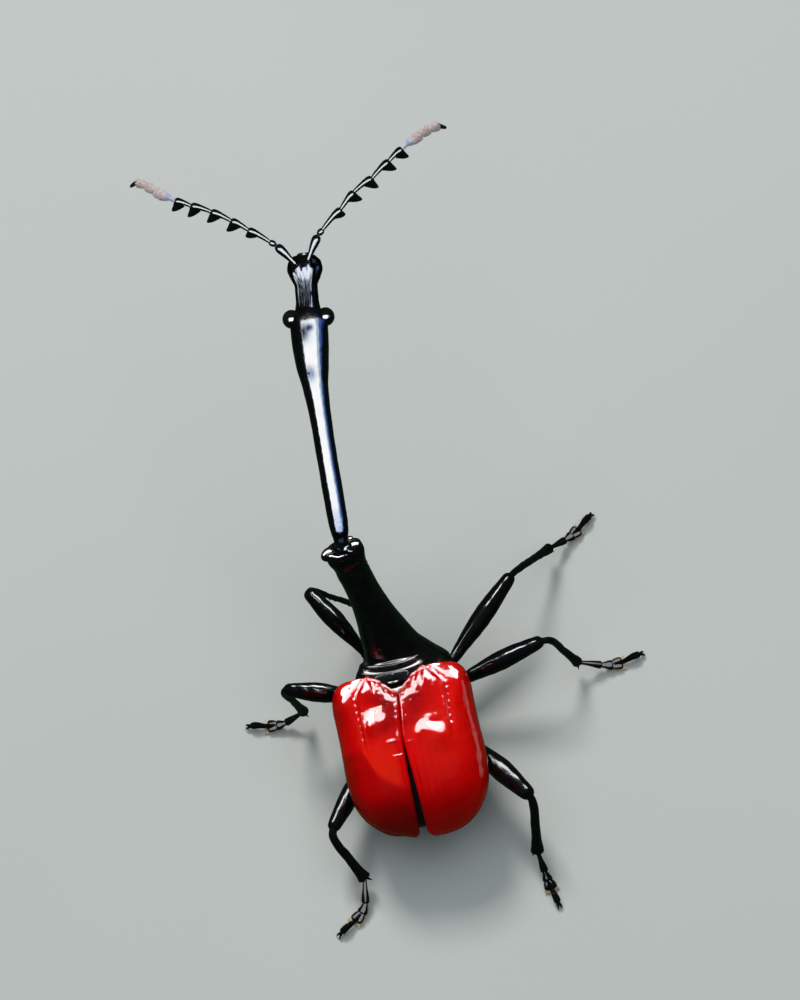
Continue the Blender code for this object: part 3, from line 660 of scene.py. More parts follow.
def case_rows(sign, places, columns):
    """The even rows of a wing case: side, lift and distance from the suture of each point."""
    share = blunt_share(places, CASE_REAR, CASE_FRONT)
    half = through(CASE_HALF_WIDTH)(places)
    apex, rounding, opening = CASE_CORNERS[sign]
    outer = np.where(places < 0.5, apex + (half - apex) * share, half * share)
    tuck = np.clip((CASE_REAR + rounding - places) / rounding, 0, 1)
    seam = through(SEAM_HALF)(places) * opening
    inner = np.minimum(apex - (apex - seam) * (1 - tuck ** 3) ** (1 / 3), outer)
    height = through(CASE_HEIGHT)(places) * share
    lowest = math.asin((-CASE_MARGIN / CASE_LOWER) ** (CASE_SQUARE / 2))
    side, lift, reach = (np.zeros((len(places), columns)) for _ in range(3))
    for row in range(len(places)):
        top = math.acos(min(1.0, (inner[row] / max(outer[row], 1e-6)) ** (CASE_SQUARE / 2)))
        turn = np.linspace(top, -lowest, 500)
        edge = outer[row] * np.cos(turn) ** (2 / CASE_SQUARE)
        tall = spread(np.sin(turn), CASE_SQUARE) * np.where(turn > 0, height[row], CASE_LOWER * share[row])
        length = np.concatenate([[0], np.cumsum(np.hypot(np.diff(edge), np.diff(tall)))])
        reach[row] = np.linspace(0, length[-1], columns)
        side[row] = np.interp(reach[row], length, edge)
        lift[row] = np.interp(reach[row], length, tall)
    return side, lift, reach, share[:, None], inner[:, None]


def case_relief(sign, side, along, reach, inner):
    """Height of the folds, ribs, lines and pits of a wing case over its smooth form."""
    relief = 0 * side
    for at, place, wide, length, tall in CASE_RELIEF:
        relief = relief + tall * bump(side, at, wide) * bump(along, place, length)
    for body_side, at, place, wide, length, tall in CASE_FOLDS:
        if body_side == sign:
            relief = relief + tall * bump(side, at, wide) * bump(along, place, length)
    rib = through(COSTA)(along)
    tall = through(COSTA_HEIGHT)(along)
    relief = relief + tall * (bump(side, rib, 0.06) - 0.6 * bump(side, rib + 0.17, 0.09))
    step = along / PUNCTURE_SPACING
    from_pit = (step - np.round(step)) * PUNCTURE_SPACING
    pits = np.exp(-((side - rib - 0.15) ** 2 + from_pit ** 2) / PUNCTURE_RADIUS ** 2)
    relief = relief - 0.028 * pits * rise(along, 0.7, 1.3) * rise(along, 3.4, 3.1)
    folds = np.sin(side * 15 + along * 3 * sign) + 0.6 * np.sin(side * 27 - along * 5)
    relief = relief + 0.022 * folds * bump(along, 3.15, 0.35) * rise(side, 0.3, 0.6) * rise(side, 1.65,
        1.35)
    to_seam = side - inner
    relief = relief + 0.035 * bump(to_seam, 0.12, 0.07) - 0.05 * bump(to_seam, 0.0, 0.035)
    lines = 0.022 * bump(to_seam, 0.27, 0.035) + 0.012 * bump(to_seam, 0.4, 0.04)
    relief = relief - lines * rise(along, 1.3, 0.2) * rise(along, -2.9, -1.5)
    fade = rise(along, -1.0, 2.0) * (1 - rise(along, 3.2, 3.6)) * (1 - rise(reach, 2.5, 3.2))
    return relief + puncture_rows(reach, along) * fade


def case_painted_shading(sign, side, along, to_margin, share):
    """Painted shade and painted light on a wing case, as its two tones."""
    # Painted shade: a dark line along the margin and darker outer flanks.
    dark = 0.95 * bump(to_margin, 0, 0.09) + 0.25 * rise(side, 2.1, 2.75)
    # Painted shade towards the rear, and in the hollow beside the suture at the front.
    dark = dark + 0.5 * rise(along, -0.9, -2.8) + 0.3 * rise(along, 2.0, 2.5) * rise(side, 1.3, 0.5)
    if sign < 0:
        # Left case: an orange-red patch of painted light, with painted shadow behind its rear edge and painted
        # shade near the suture.
        edge = through(LIT_PATCH_EDGE)(side)
        glow = rise(along - edge, -0.22, 0.2) * rise(along, 1.6, 0.2) * rise(side, 0.25, 0.6)
        glow = glow * rise(side, 2.05, 1.75) * (0.65 + 0.35 * rise(along - edge, 1.3, 0.1))
        glow = glow + 0.25 * bump(side, 1.95, 0.3) * bump(along, 1.6, 1.0)
        dark = dark + 0.3 * rise(along - edge, 0.15, -0.3) + 0.4 * bump(side, 0.45, 0.5) * bump(along, 1.9,
            0.9)
    else:
        # Right case: painted light over the middle and the shoulder, painted shade beside the suture, and darker
        # stripes there towards the rear.
        glow = 0.4 * bump(side, 1.3, 0.8) * bump(along, 0.3, 1.5) + 0.2 * bump(side, 1.9, 0.6) * bump(along,
            2.2, 0.8)
        dark = dark + 0.3 * bump(side, 0.5, 0.4) * bump(along, 2.0, 0.7)
        dark = dark + 0.12 * np.sin(side * 24) * bump(side, 0.5, 0.5) * bump(along, -0.6, 1.2)
    # Painted shade where the case narrows and turns under at its tip.
    dark = np.maximum(dark, 0.9 * np.clip(1 - share / 0.4, 0, 1) ** 2)
    return np.stack([np.clip(dark, 0, 0.97), np.clip(glow, 0, 1)], axis=-1)


def wing_case(sign, material, columns=170):
    """One wing case: its outer skin as rows of points from the suture to the margin."""
    places = case_places()
    side, lift, reach, share, inner = case_rows(sign, places, columns)
    drawn_back = np.clip((places - 1.0) / (CASE_FRONT - 1.0), 0, 1)[:, None] ** 1.5
    notch = NOTCH_DEPTH * np.exp(-(side / NOTCH_REACH) ** 1.6)
    along = places[:, None] - notch * drawn_back - 0.16 * rise(places[:, None], 2.6, CASE_FRONT)
    if sign < 0:
        along = along + 0.24 * rise(places[:, None], -1.2, CASE_REAR) * (0.4 + 0.6 * rise(side, 0.2, 0.9))
    lean = through(CASE_LEAN)(along) * np.cos(np.clip(side / 2.8, 0, 1) * math.pi / 2) ** 2
    sag = through(CASE_SAG)(places)[:, None]
    grid = trunk_point(sign * side - lean, along, sag + lift)
    down, over = np.gradient(grid, axis=0), np.gradient(grid, axis=1)
    normal = unit(np.cross(over, down) * sign)
    if normal[len(places) // 2, columns // 4] @ TRUNK_BACK < 0:
        normal = -normal
    relief = case_relief(sign, side, along, reach, inner) * np.clip(lift / 0.3, 0, 1)
    relief = relief + 0.05 * bump(places[:, None], 3.8, 0.06) * (1 - rise(side, 1.5, 2.0))
    flat = grid.reshape(-1, 3)
    relief = relief + 0.006 * ripple(flat, 1.1, 5).reshape(side.shape) + 0.0022 * ripple(flat, 0.42,
        6).reshape(side.shape)
    to_margin = reach[:, -1:] - reach
    relief = relief + 0.035 * bump(to_margin, 0.1, 0.07) - 0.025 * bump(to_margin, 0.32, 0.1)
    grid = grid + normal * (relief * np.clip(share / 0.5, 0, 1))[..., None]
    # Painted shade and painted light for the case's colour.
    tones = case_painted_shading(sign, side, along, to_margin, share)
    if sign > 0:
        grid, tones = grid[::-1], tones[::-1]
    shape = Shape()
    shape.add_grid(grid, tones)
    name = "right" if sign > 0 else "left"
    made = piece(f"wing_case_{name}_shell", shape, material, [f"wing_case_{name}"],
        solid=False)
    centre = made.data.polygons[len(made.data.polygons) // 2]
    if centre.normal.z < 0:
        made.data.flip_normals()
    shell = made.modifiers.new("Solidify", "SOLIDIFY")
    shell.thickness = CASE_THICK * MM
    shell.offset = -1


def trunk(material):
    """Breast and belly, with the grooves between their plates."""
    shape = Shape()
    reach = (BELLY_FRONT - BELLY_REAR) / 2
    places = (BELLY_FRONT + BELLY_REAR) / 2 + reach * np.sin(np.linspace(-math.pi / 2, math.pi / 2, 150))
    share = np.maximum(blunt_share(places, BELLY_REAR, BELLY_FRONT), 1e-3)
    half = through(CASE_HALF_WIDTH)(places) - 0.28
    height = through(CASE_HEIGHT)(places) - 0.55
    depth = through(BELLY_DEPTH)(places)
    sag = through(CASE_SAG)

    def line(place):
        return trunk_point(0 * place, place, sag(place))

    def plates(place, angle, points):
        under = np.clip(-np.sin(angle) + 0.3, 0, 1)
        grooves = sum(bump(place, at, 0.035) for at in VENTRITES)
        crown = sum(0.03 * bump(place, at + 0.3, 0.2) for at in VENTRITES)
        grain = 0.012 * ripple(points.reshape(-1, 3), 0.25, 11).reshape(points.shape[:2])
        return under * (crown - 0.07 * grooves + grain)

    shape.add_tube(sweep(
        line, places, half * share, height * share, depth * share, up=TRUNK_BACK, sides=120, relief=plates))
    return piece("thorax_and_abdomen", shape, material, ["hind_thorax", "abdomen"])


def scutellum(material):
    """The plate between the bases of the wing cases, rounded behind, with a raised rim."""
    shape = Shape()
    rows = np.concatenate([-np.cos(np.linspace(0.05, math.pi / 2, 50)), [0.05, 0.1, 0.14]])
    line = lambda place: trunk_point(0 * place - 0.23, 3.57 + 0.41 * place, 1.0 - 0.06 * place)
    round_end = np.sqrt(1 - np.minimum(rows, 0) ** 2)

    def rim(place, angle, points):
        reach = np.sqrt(np.minimum(place, 0) ** 2 + (np.cos(angle) * np.sqrt(1 - np.minimum(place,
            0) ** 2)) ** 2)
        beads = 0.015 * np.sin(points[..., 0] * 22 + 1) * bump(place, -0.15, 0.2)
        return (0.05 * bump(reach, 0.88, 0.09) - 0.03 * bump(reach, 0.68,
            0.1) + beads) * np.clip(np.sin(angle), 0, 1)

    shape.add_tube(sweep(
        line, rows, 0.69 * round_end, 0.1 * round_end, 0.4 * round_end, up=TRUNK_BACK, sides=96,
        relief=rim))
    return piece("scutellum", shape, material)


def prothorax(material):
    """The long cone, with two beads round its base and a lobed ring that holds the neck."""
    way = unit(RING - BASE)
    line = lambda place: BASE + way * np.asarray(place, float)[..., None]
    places = np.concatenate([np.linspace(CONE_START, 0.1, 70), np.linspace(0.13, CONE_LENGTH - 0.1, 210)])
    width = through(CONE_RADIUS)(places)
    depth = through(CONE_DEPTH)(places)
    height = through(CONE_BACK)(places)
    lip = 0.17
    turn = np.linspace(0.25, math.pi, 20)
    lip_place = CONE_LENGTH - 0.1 + 0.24 * (np.sin(turn) - math.sin(turn[0]))
    lip_size = width[-1] + lip * (np.cos(turn) - math.cos(turn[0]))
    dip = np.linspace(0, 1, 14)[1:]
    dip_place = lip_place[-1] - SOCKET_DEPTH * dip
    dip_size = lip_size[-1] * np.sqrt(np.maximum(1 - (dip * 0.99) ** 3, 0))
    places = np.concatenate([places, lip_place, dip_place])
    tail = np.concatenate([lip_size, dip_size])
    width, height, depth = (np.concatenate([size, tail]) for size in (width, height, depth))

    turned_by = lambda angle, degrees: np.abs((angle - math.radians(degrees) + math.pi) % (2 * math.pi) - math.pi)

    def lobes(place, angle):
        return rise(place, 5.6, 6.0) * sum(
            tall * bump(turned_by(angle, degrees), 0, 0.45) for degrees, tall in RING_LOBES)

    def relief(place, angle, points):
        waist = -0.05 * bump(place, 5.72, 0.1) * bump(turned_by(angle, 75), 0, 0.5)
        waist = waist + 0.05 * bump(place, 5.15, 0.3) * bump(turned_by(angle, 170), 0, 0.5)
        flat_points = points.reshape(-1, 3)
        spots = np.maximum(ripple(flat_points, 0.22, 23).reshape(points.shape[:2]) - 1.1, 0)
        spots = spots * 0.06 * (bump(place, 5.4, 0.35) + bump(place, 1.6, 0.3))
        grain = 0.0015 * ripple(flat_points, 0.3, 21) + 0.012 * ripple(flat_points, 1.7, 22)
        return lobes(place, angle) * 0.6 + waist + spots + grain.reshape(points.shape[:2])

    shape = Shape()
    rings = sweep(line, places, width, height, depth, up=TRUNK_BACK, sides=128, relief=relief)
    angle = np.arange(128) * 2 * math.pi / 128
    shape.add_tube(rings + way * lobes(places[:, None], angle[None])[..., None])
    collar = np.linspace(2.7, 4.62, 150)
    collar_line = lambda place: trunk_point(0 * place - 0.12, place, 0 * place)
    width = through([(2.7, 1.3), (3.4, 1.5), (3.85, 1.56), (4.3, 1.35), (4.5, 1.2), (4.62, 0.8)])(collar)
    tall = through([(2.7, 0.8), (3.5, 0.86), (4.15, 0.86), (4.3, 0.7), (4.45, 0.4), (4.62, 0.2)])(collar)

    def beads(place, angle, points):
        back = 0.2 * (np.cos(angle) * 1.5) ** 2
        rounds = 0.09 * bump(place, 3.98 + back, 0.06) + 0.05 * bump(place, 3.68 + back, 0.035)
        return rounds * np.clip(np.sin(angle) * 2, 0, 1)

    shape.add_tube(sweep(collar_line, collar, width, tall, tall, up=TRUNK_BACK, sides=140, relief=beads))
    side = unit(np.cross(way, TRUNK_BACK))
    top = np.cross(side, way)
    turn = np.linspace(0.02, math.pi - 0.02, 30)
    for degrees, reach, on, size in RING_KNOBS:
        angle = math.radians(degrees)
        centre = RING + way * on + (side * math.cos(angle) + top * math.sin(angle)) * reach
        upright = lambda place, centre=centre: centre + KNOB_AXIS * np.asarray(place, float)[..., None]
        radius = size * np.sin(turn)
        shape.add_tube(sweep(upright, -0.58 * size * np.cos(turn), radius, radius * 0.75, up=way, sides=48))
    return piece("prothorax_cone", shape, material, ["prothorax"])


def head(material):
    """Neck, head and rostrum in one skin, from the ball in the socket to the mouth."""
    line, _ = path(HEAD_AXIS)
    ball = -0.3 * np.cos(np.linspace(0.02, math.pi / 2, 12))
    places = np.concatenate([ball, np.linspace(0.02, TIP - 0.06, 520)])
    end = TIP + 0.06 * np.sin(np.linspace(0, math.pi / 2, 6))
    places = np.concatenate([places, end])
    rounded = np.sqrt(np.maximum(1 - (np.minimum(places, 0) / 0.3) ** 2, 0))
    closing = np.sqrt(np.maximum(1 - (np.clip(places - TIP, 0, 0.06) / 0.0605) ** 2, 0))
    width = through(HEAD_WIDTH)(places) * rounded * closing
    height = through(HEAD_HEIGHT)(places) * rounded * closing

    def relief(place, angle, points):
        top = np.clip(np.sin(angle), 0, 1)
        off = angle - math.pi / 2
        noise = lambda scale, seed: ripple(points.reshape(-1, 3), scale, seed).reshape(points.shape[:2])
        streaks = np.sin(off * 21 + 1.6 * np.sin(place * 7)) * np.sin(place * 23 + 2 * np.sin(off * 9))
        neck = 0.004 * noise(0.2, 34) * bump(place, 0.7, 0.4)
        patches = bump(place, 8.5, 0.3) * bump(off, 0.2, 0.4) + bump(place, 6.95, 0.28) * bump(off, 0.2,
            0.4)
        patches = patches * (0.002 * streaks + 0.0012 * noise(0.15, 33))
        keels = 0.035 * (bump(np.abs(off - 0.17), 0.56, 0.1)) * rise(place, 9.45, 9.9) * rise(place, 11.25,
            10.9)
        valley = -0.02 * bump(off, 0, 0.45) * rise(place, 9.5, 9.9) * rise(place, 11.0, 10.7)
        lines = 0.009 * np.sin(off * 30 + 0.8 * np.sin(place * 11)) * bump(off, 0, 0.6) * bump(place, 10.1,
            0.55)
        mouth = 0.02 * np.sin(off * 13 + 1.2) * top * bump(place, 11.15, 0.2)
        side = bump(np.abs(off), 1.12, 0.22)
        brow = 0.05 * side * bump(place, EYE_PLACE - 0.05, 0.33)
        roots = -0.09 * bump(np.abs(off - 0.03), 0.62, 0.17) * bump(place, 11.33, 0.13)
        coarse = 0.006 * noise(1.4, 31) + 0.0012 * noise(0.35, 32)
        total = neck + patches + keels + valley + lines + mouth + brow + roots + coarse
        return total * np.clip((TIP + 0.02 - place) / 0.1, 0, 1)

    # Painted reflection on the polished head. Painted shade dims the mirrored sky on the rostrum's valley and
    # outer sides, the flare's lobes, the mouth, the neck's base and two patches behind the eyes. Painted light
    # tints it blue on the lower neck, those patches and the rostrum.
    def tones(place, angle, points):
        off = angle - math.pi / 2
        noise = lambda scale, seed: ripple(points.reshape(-1, 3), scale, seed).reshape(points.shape[:2])
        streaks = np.sin(off * 34 + 1.6 * np.sin(place * 5)) + 0.7 * np.sin(off * 19 + 2) + 0.8 * noise(0.2,
            36)
        streaks = rise(streaks, -0.6, 1.2)
        first = bump(place, 8.58, 0.33) * bump(off, 0.24, 0.22) + 0.9 * bump(place, 8.78, 0.13) * bump(off,
            -0.05, 0.17)
        second = bump(place, 6.95, 0.28) * bump(off, 0.17, 0.26)
        keel = bump(np.abs(off - 0.17), 0.56, 0.055) * rise(noise(0.5, 37), -1.6, 0.0)
        outside = rise(np.abs(off - 0.17), 0.6, 0.7)
        rostrum = rise(place, 9.4, 9.8) * rise(place, 10.8, 10.6)
        valley = 0.72 + 0.2 * rise(place, 10.65, 10.0) + 0.25 * streaks
        dark = rostrum * np.maximum(valley, outside) * (1 - 0.85 * keel)
        flare = rise(place, 10.6, 10.8)
        lobes = rise(-off, 0.3, 0.42) + 0.8 * bump(off, 0.46, 0.05) + rise(off, 0.74, 0.86)
        dark = dark + flare * (0.65 * streaks * rise(place, 11.1, 10.8) + 0.95 * lobes) + 0.9 * rise(place,
            11.3, 11.42)
        dark = dark + first * (0.85 + 0.25 * streaks) + second * (0.35 + 0.4 * streaks) + rise(place, 0.62,
            0.4)
        glow = 0.8 * rise(place, 1.9, 0.6) + 0.8 * first + 0.9 * second + 0.25 * rise(place, 9.4,
            10.0) + 0.08 * noise(0.8, 38)
        glow = np.where(place < 0, 0.3, glow)
        dark = np.where(place < 0, 0.0, dark)
        return np.stack(np.broadcast_arrays(np.clip(dark, 0, 1), np.clip(glow, 0, 1)), axis=-1)

    shape = Shape()
    rings = sweep(line, places, width, height, sides=136, square=2.2, relief=relief)
    angle = np.arange(136) * 2 * math.pi / 136
    shape.add_tube(rings, tones(places[:, None], angle[None], rings))
    way = direction(line, 0.0)
    middle = line(0.0) + np.cross(way, UP) * 0.14 - way * 0.08 + np.array((0, -0.12, 0.04))
    knob = lambda place: middle + way * np.asarray(place, float)[..., None]
    turn = np.linspace(0.02, math.pi - 0.02, 40)
    lumps = lambda place, angle, points: 0.07 * ripple(points.reshape(-1, 3), 0.42, 35,
        6).reshape(points.shape[:2])
    shape.add_tube(sweep(knob, -0.34 * np.cos(turn), 0.5 * np.sin(turn), 0.45 * np.sin(turn), sides=64,
        relief=lumps))
    return piece("head_and_neck", shape, material, ["neck", "head", "rostrum"])


def eyes(material):
    line, _ = path(HEAD_AXIS)
    across = unit(np.cross(direction(line, EYE_PLACE), UP))
    for name, sign in (("right", 1), ("left", -1)):
        centre = line(EYE_PLACE) + across * sign * (EYE_SIDE - 0.01)
        axis = lambda place, centre=centre, sign=sign: centre + across * sign * np.asarray(place)[..., None]
        turn = np.linspace(0.01, math.pi - 0.01, 48)
        radius = EYE_RADIUS * np.sin(turn)
        shape = Shape()
        shape.add_tube(sweep(axis, -EYE_RADIUS * 0.96 * np.cos(turn), radius, radius, sides=72))
        piece(f"eye_{name}_lens", shape, material, [f"eye_{name}"])


def mandibles(material):
    line, _ = path(HEAD_AXIS)
    forward = direction(line, TIP)
    across = unit(np.cross(forward, UP))
    low = np.cross(forward, across) * 0.1
    for name, sign in (("right", 1), ("left", -1)):
        shape = Shape()
        outer = line(TIP) + across * sign * 0.2 - forward * 0.12 + low
        tip = line(TIP) + across * sign * 0.03 + forward * MANDIBLE_LENGTH + low
        thorn(shape, outer, tip, 0.11, bend=across * sign * 0.09 + forward * 0.02, sides=20, rings=16)
        middle = (outer + tip) / 2 + across * sign * 0.05
        thorn(shape, middle, middle - across * sign * 0.1 + forward * 0.05, 0.04)
        piece(f"mandible_{name}_jaw", shape, material, [f"mandible_{name}"])


def hairs(shape, roots, ways, length, radius, patches, rng):
    """Bent three-sided hairs, each a closed cone, with the patch of the skin each one grows from."""
    count = len(roots)
    lengths = length * rng.uniform(0.6, 1.25, count)[:, None]
    side = unit(np.cross(ways, rng.normal(size=(count, 3))))
    other = np.cross(ways, side)
    corners = []
    for along, size in ((-0.15, 1.0), (0.5, 0.75)):
        for turn in range(3):
            angle = turn * 2 * math.pi / 3
            ring = side * math.cos(angle) + other * math.sin(angle)
            corners.append(roots + ways * lengths * along + ring * radius * size)
    corners.append(roots + ways * lengths + rng.normal(size=(count, 3)) * length * 0.12)
    points = np.stack(corners, axis=1)
    base = np.arange(count)[:, None] * 7
    quads = np.concatenate([base + np.array([a, b, b + 3, a + 3]) for a, b in ((0, 1), (1, 2), (2, 0))])
    tips = np.concatenate([base + np.array([a, b, 6]) for a, b in ((3, 4), (4, 5), (5, 3))])
    caps = base + np.array([2, 1, 0])
    corner_patch = np.array([(0, 0), (0.003, 0), (0.0015, 0.001), (0, 0.002), (0.003, 0.002),
        (0.0015, 0.002),
                             (0.0015, 0.003)])
    shape.add(points, [quads, tips, caps], patch=(patches[:, None] + corner_patch).reshape(-1, 2))


def hair_piece(name, shape, material):
    """A coat of hairs; its map gives each hair the patch it grows from."""
    made = piece(name, shape, material)
    mesh = made.data
    uv = mesh.uv_layers.new(name="OFBake")
    index = np.zeros(len(mesh.loops), int)
    mesh.loops.foreach_get("vertex_index", index)
    uv.data.foreach_set("uv", np.concatenate(shape.patches)[index].astype(np.float32).ravel())


def tooth(shape, root, tip, way):
    """The broad triangular tooth at the end of a feeler's joint."""
    line, length = path([root, (root + tip) / 2 - way * 0.02, tip])
    share = np.linspace(0, 1, 14)
    wide = 0.21 * (1 - share) ** 0.9 + 0.045 * np.sqrt(np.maximum(1 - share ** 6, 0))
    flat = unit(np.cross(way, tip - root))
    shape.add_tube(sweep(line, share * length, wide, wide * 0.5, up=flat, sides=20))


def feeler(name, black, matt, pale, club_skin, club_hair):
    """Scape, bead, six joints of which five are toothed, and the haired club of one feeler."""
    marks = [np.array(mark) for mark in FEELERS[name]]
    shape = Shape()
    line, length = bowed(marks[0], marks[1], 0.03)
    rod(shape, line, length, [(0, 0.1), (0.25, 0.115), (0.6, 0.165), (0.8, 0.185), (0.93, 0.15),
        (1.0, 0.09)],
        start=0.1, end=0.02, start_round=0.1, end_round=0.1, sides=40, step=0.03)
    piece(f"scape_{name}_rod", shape, black, [f"scape_{name}"])
    joints, teeth, last_joint = Shape(), Shape(), Shape()
    for index in range(1, 7):
        start, end = marks[index], marks[index + 1]
        way = unit(end - start)
        if index == 1:
            bead = lambda place: marks[1] + way * np.asarray(place, float)[..., None]
            rod(joints, bead, 0.3, [(0, 0.07), (0.45, 0.13), (0.8, 0.125), (1.0, 0.07)], start=0.03,
                end=0.03,
                start_round=0.05, end_round=0.06, step=0.02)
            start = start + way * 0.28
        line, length = bowed(start, end, 0.03, (0, 0.035, 0))
        thick = 0.15 if index < 6 else 0.17
        rod(joints if index < 6 else last_joint, line, length,
            [(0, 0.07), (0.12, 0.085), (0.45, 0.11), (0.82, thick), (1.0, thick * 0.8)],
            start=0.05, end=0.02, start_round=0.05, end_round=0.09, sides=32, step=0.025)
        if index < 6:
            back = unit(np.cross(way, UP))
            back = -back if back[1] > 0 else back
            root = end - way * 0.2
            tip = end + back * TOOTH_LENGTHS[index - 1] - UP * 0.24 + way * 0.02
            tooth(teeth, root - UP * 0.03, tip, way)
    piece(f"funicle_{name}_joints", joints, black, [f"funicle_{name}"])
    piece(f"teeth_{name}_row", teeth, matt)
    piece(f"sixth_{name}_joint", last_joint, pale)
    club = Shape()
    coat = Shape()
    rng = np.random.default_rng(len(name))
    line, length = path(marks[7:])
    bounds = [(-0.06, 0.25), (0.25, 0.52), (0.52, 0.78)]
    for number, (first, last) in enumerate(bounds):
        low, high = first * length, last * length
        part = lambda place, low=low: line(place + low)
        size = 0.205 - 0.015 * number
        profile = [(0, size * 0.6), (0.3, size * 0.92), (0.75, size), (1.0, size * 0.78)]
        rod(club, part, high - low, profile, start=0.03, end=0.0, start_round=0.06, end_round=0.07,
            step=0.025)
        count = 900
        place = rng.uniform(0.02, 1.0, count) * (high - low)
        angle = rng.uniform(0, 2 * math.pi, count)
        centre = part(place)
        tangent = direction(part, place)
        side = unit(np.cross(tangent, UP))
        top = np.cross(side, tangent)
        out = side * np.cos(angle)[:, None] + top * np.sin(angle)[:, None]
        radius = through(profile)(place / (high - low))[:, None]
        patches = np.column_stack([angle / 2 / math.pi, (low + place) / length * 0.8 + 0.1])
        hairs(coat, centre + out * radius, unit(out * 0.5 + tangent), 0.07, 0.006, patches * 0.99, rng)
    piece(f"club_{name}_segments", club, club_skin, [f"club_{name}"])
    tip = Shape()
    low = 0.76 * length
    part = lambda place: line(place + low)
    rod(tip, part, 0.24 * length, [(0, 0.15), (0.3, 0.1), (0.7, 0.075), (1.0, 0.04)], start=0.05,
        end_round=0.06,
        step=0.02)
    piece(f"club_{name}_tip", tip, black)
    hair_piece(f"club_{name}_hair", coat, club_hair)


def tarsus_line(ankle, instep, toe):
    plan, reach = path([(mark[0], mark[1], 0) for mark in (ankle, instep, toe)])
    return path([ankle, *(plan(reach * share) + UP * lift for share, lift in TARSUS_LIFTS)])


def foot(name, ankle, instep, toe, black, pad_skin, pad_hair):
    """Three tarsal joints, the last with two lobes, the claw joint between them and its two claws."""
    line, length = tarsus_line(ankle, instep, toe)
    shape = Shape()
    pads = Shape()
    fringe = Shape()
    rng = np.random.default_rng(sum(ord(letter) for letter in name))
    spans = [
        (0.02, 0.39, [(0, 0.085), (0.2, 0.09), (0.75, 0.15), (1.0, 0.17)], 0.8),
        (0.37, 0.56, [(0, 0.09), (0.4, 0.15), (0.85, 0.21), (1.0, 0.2)], 0.7),
    ]
    for first, last, profile, flat in spans:
        part = lambda place, first=first: line(place + first * length)
        rod(shape, part, (last - first) * length, profile, start_round=0.06, end_round=0.08, flat=flat,
            step=0.025)
    way = direction(line, 0.6 * length)
    way = unit((way[0], way[1], 0))
    side = np.cross(way, UP)
    for sign in (1, -1):
        root = line(0.53 * length) + side * sign * 0.04
        tip = line(0.71 * length) + side * sign * 0.15 - UP * 0.02
        lobe, reach = path([root, (root + tip) / 2 + side * sign * 0.02, tip])
        rod(shape, lobe, reach, [(0, 0.09), (0.5, 0.13), (1.0, 0.12)], start_round=0.06, end_round=0.1,
            flat=0.66,
            step=0.025)
        base = line(0.55 * length) + side * sign * 0.07
        end = line(0.745 * length) + side * sign * 0.17
        base[2], end[2] = 0.08, 0.075
        pad, reach = path([base, (base + end) / 2 + side * sign * 0.01, end])
        rod(pads, pad, reach, [(0, 0.08), (0.5, 0.13), (1.0, 0.12)], start_round=0.08, end_round=0.1,
            flat=0.55,
            step=0.03)
        count = 260
        place = rng.uniform(0.1, 1.05, count) * reach
        angle = np.where(rng.uniform(size=count) < 0.5, 0.0, math.pi) + rng.normal(0, 0.35, count)
        tangent = direction(pad, place)
        out_side = unit(np.cross(tangent, UP))
        out = out_side * np.cos(angle)[:, None] + UP * (np.sin(angle) * 0.3)[:, None]
        roots = pad(place) + out * 0.09
        roots[:, 2] = np.maximum(roots[:, 2], 0.05)
        ways = unit(out + tangent * 0.7 - UP * 0.18)
        patches = np.column_stack([angle / 2 / math.pi % 1, place / reach * 0.4 + 0.5 * (sign > 0)])
        hairs(fringe, roots, ways, 0.07, 0.006, patches * 0.98, rng)
    for first, last in ((0.2, 0.38), (0.4, 0.55)):
        ends = [line(first * length), line(last * length)]
        low = [point - UP * 0.13 for point in ends]
        low = [np.array((point[0], point[1], max(point[2], 0.08))) for point in low]
        under, reach = path([low[0], low[1]])
        rod(pads, under, reach, [(0, 0.06), (0.6, 0.12), (1.0, 0.12)], start_round=0.06, end_round=0.08,
            flat=0.55,
            step=0.03)
    piece(f"tarsus_{name}_joints", shape, black, [f"tarsus_{name}"])
    piece(f"tarsus_{name}_pads", pads, pad_skin)
    hair_piece(f"tarsus_{name}_fringe", fringe, pad_hair)
    claws = Shape()
    claw_part = lambda place: line(place + 0.57 * length) + UP * 0.04
    rod(claws, claw_part, 0.43 * length, [(0, 0.08), (0.4, 0.095), (0.8, 0.14), (1.0, 0.135)],
        start_round=0.05,
        end_round=0.1, step=0.025)
    end = line(length) + UP * 0.03
    way = direction(line, length)
    way = unit((way[0], way[1], 0))
    for sign in (1, -1):
        out = turned(way, sign * math.radians(24))
        tip = end + out * 0.22
        tip[2] = 0.012
        thorn(claws, end - way * 0.05, tip, 0.055, bend=UP * 0.06 + out * 0.05, sides=14, rings=14)
    piece(f"claws_{name}", claws, black)


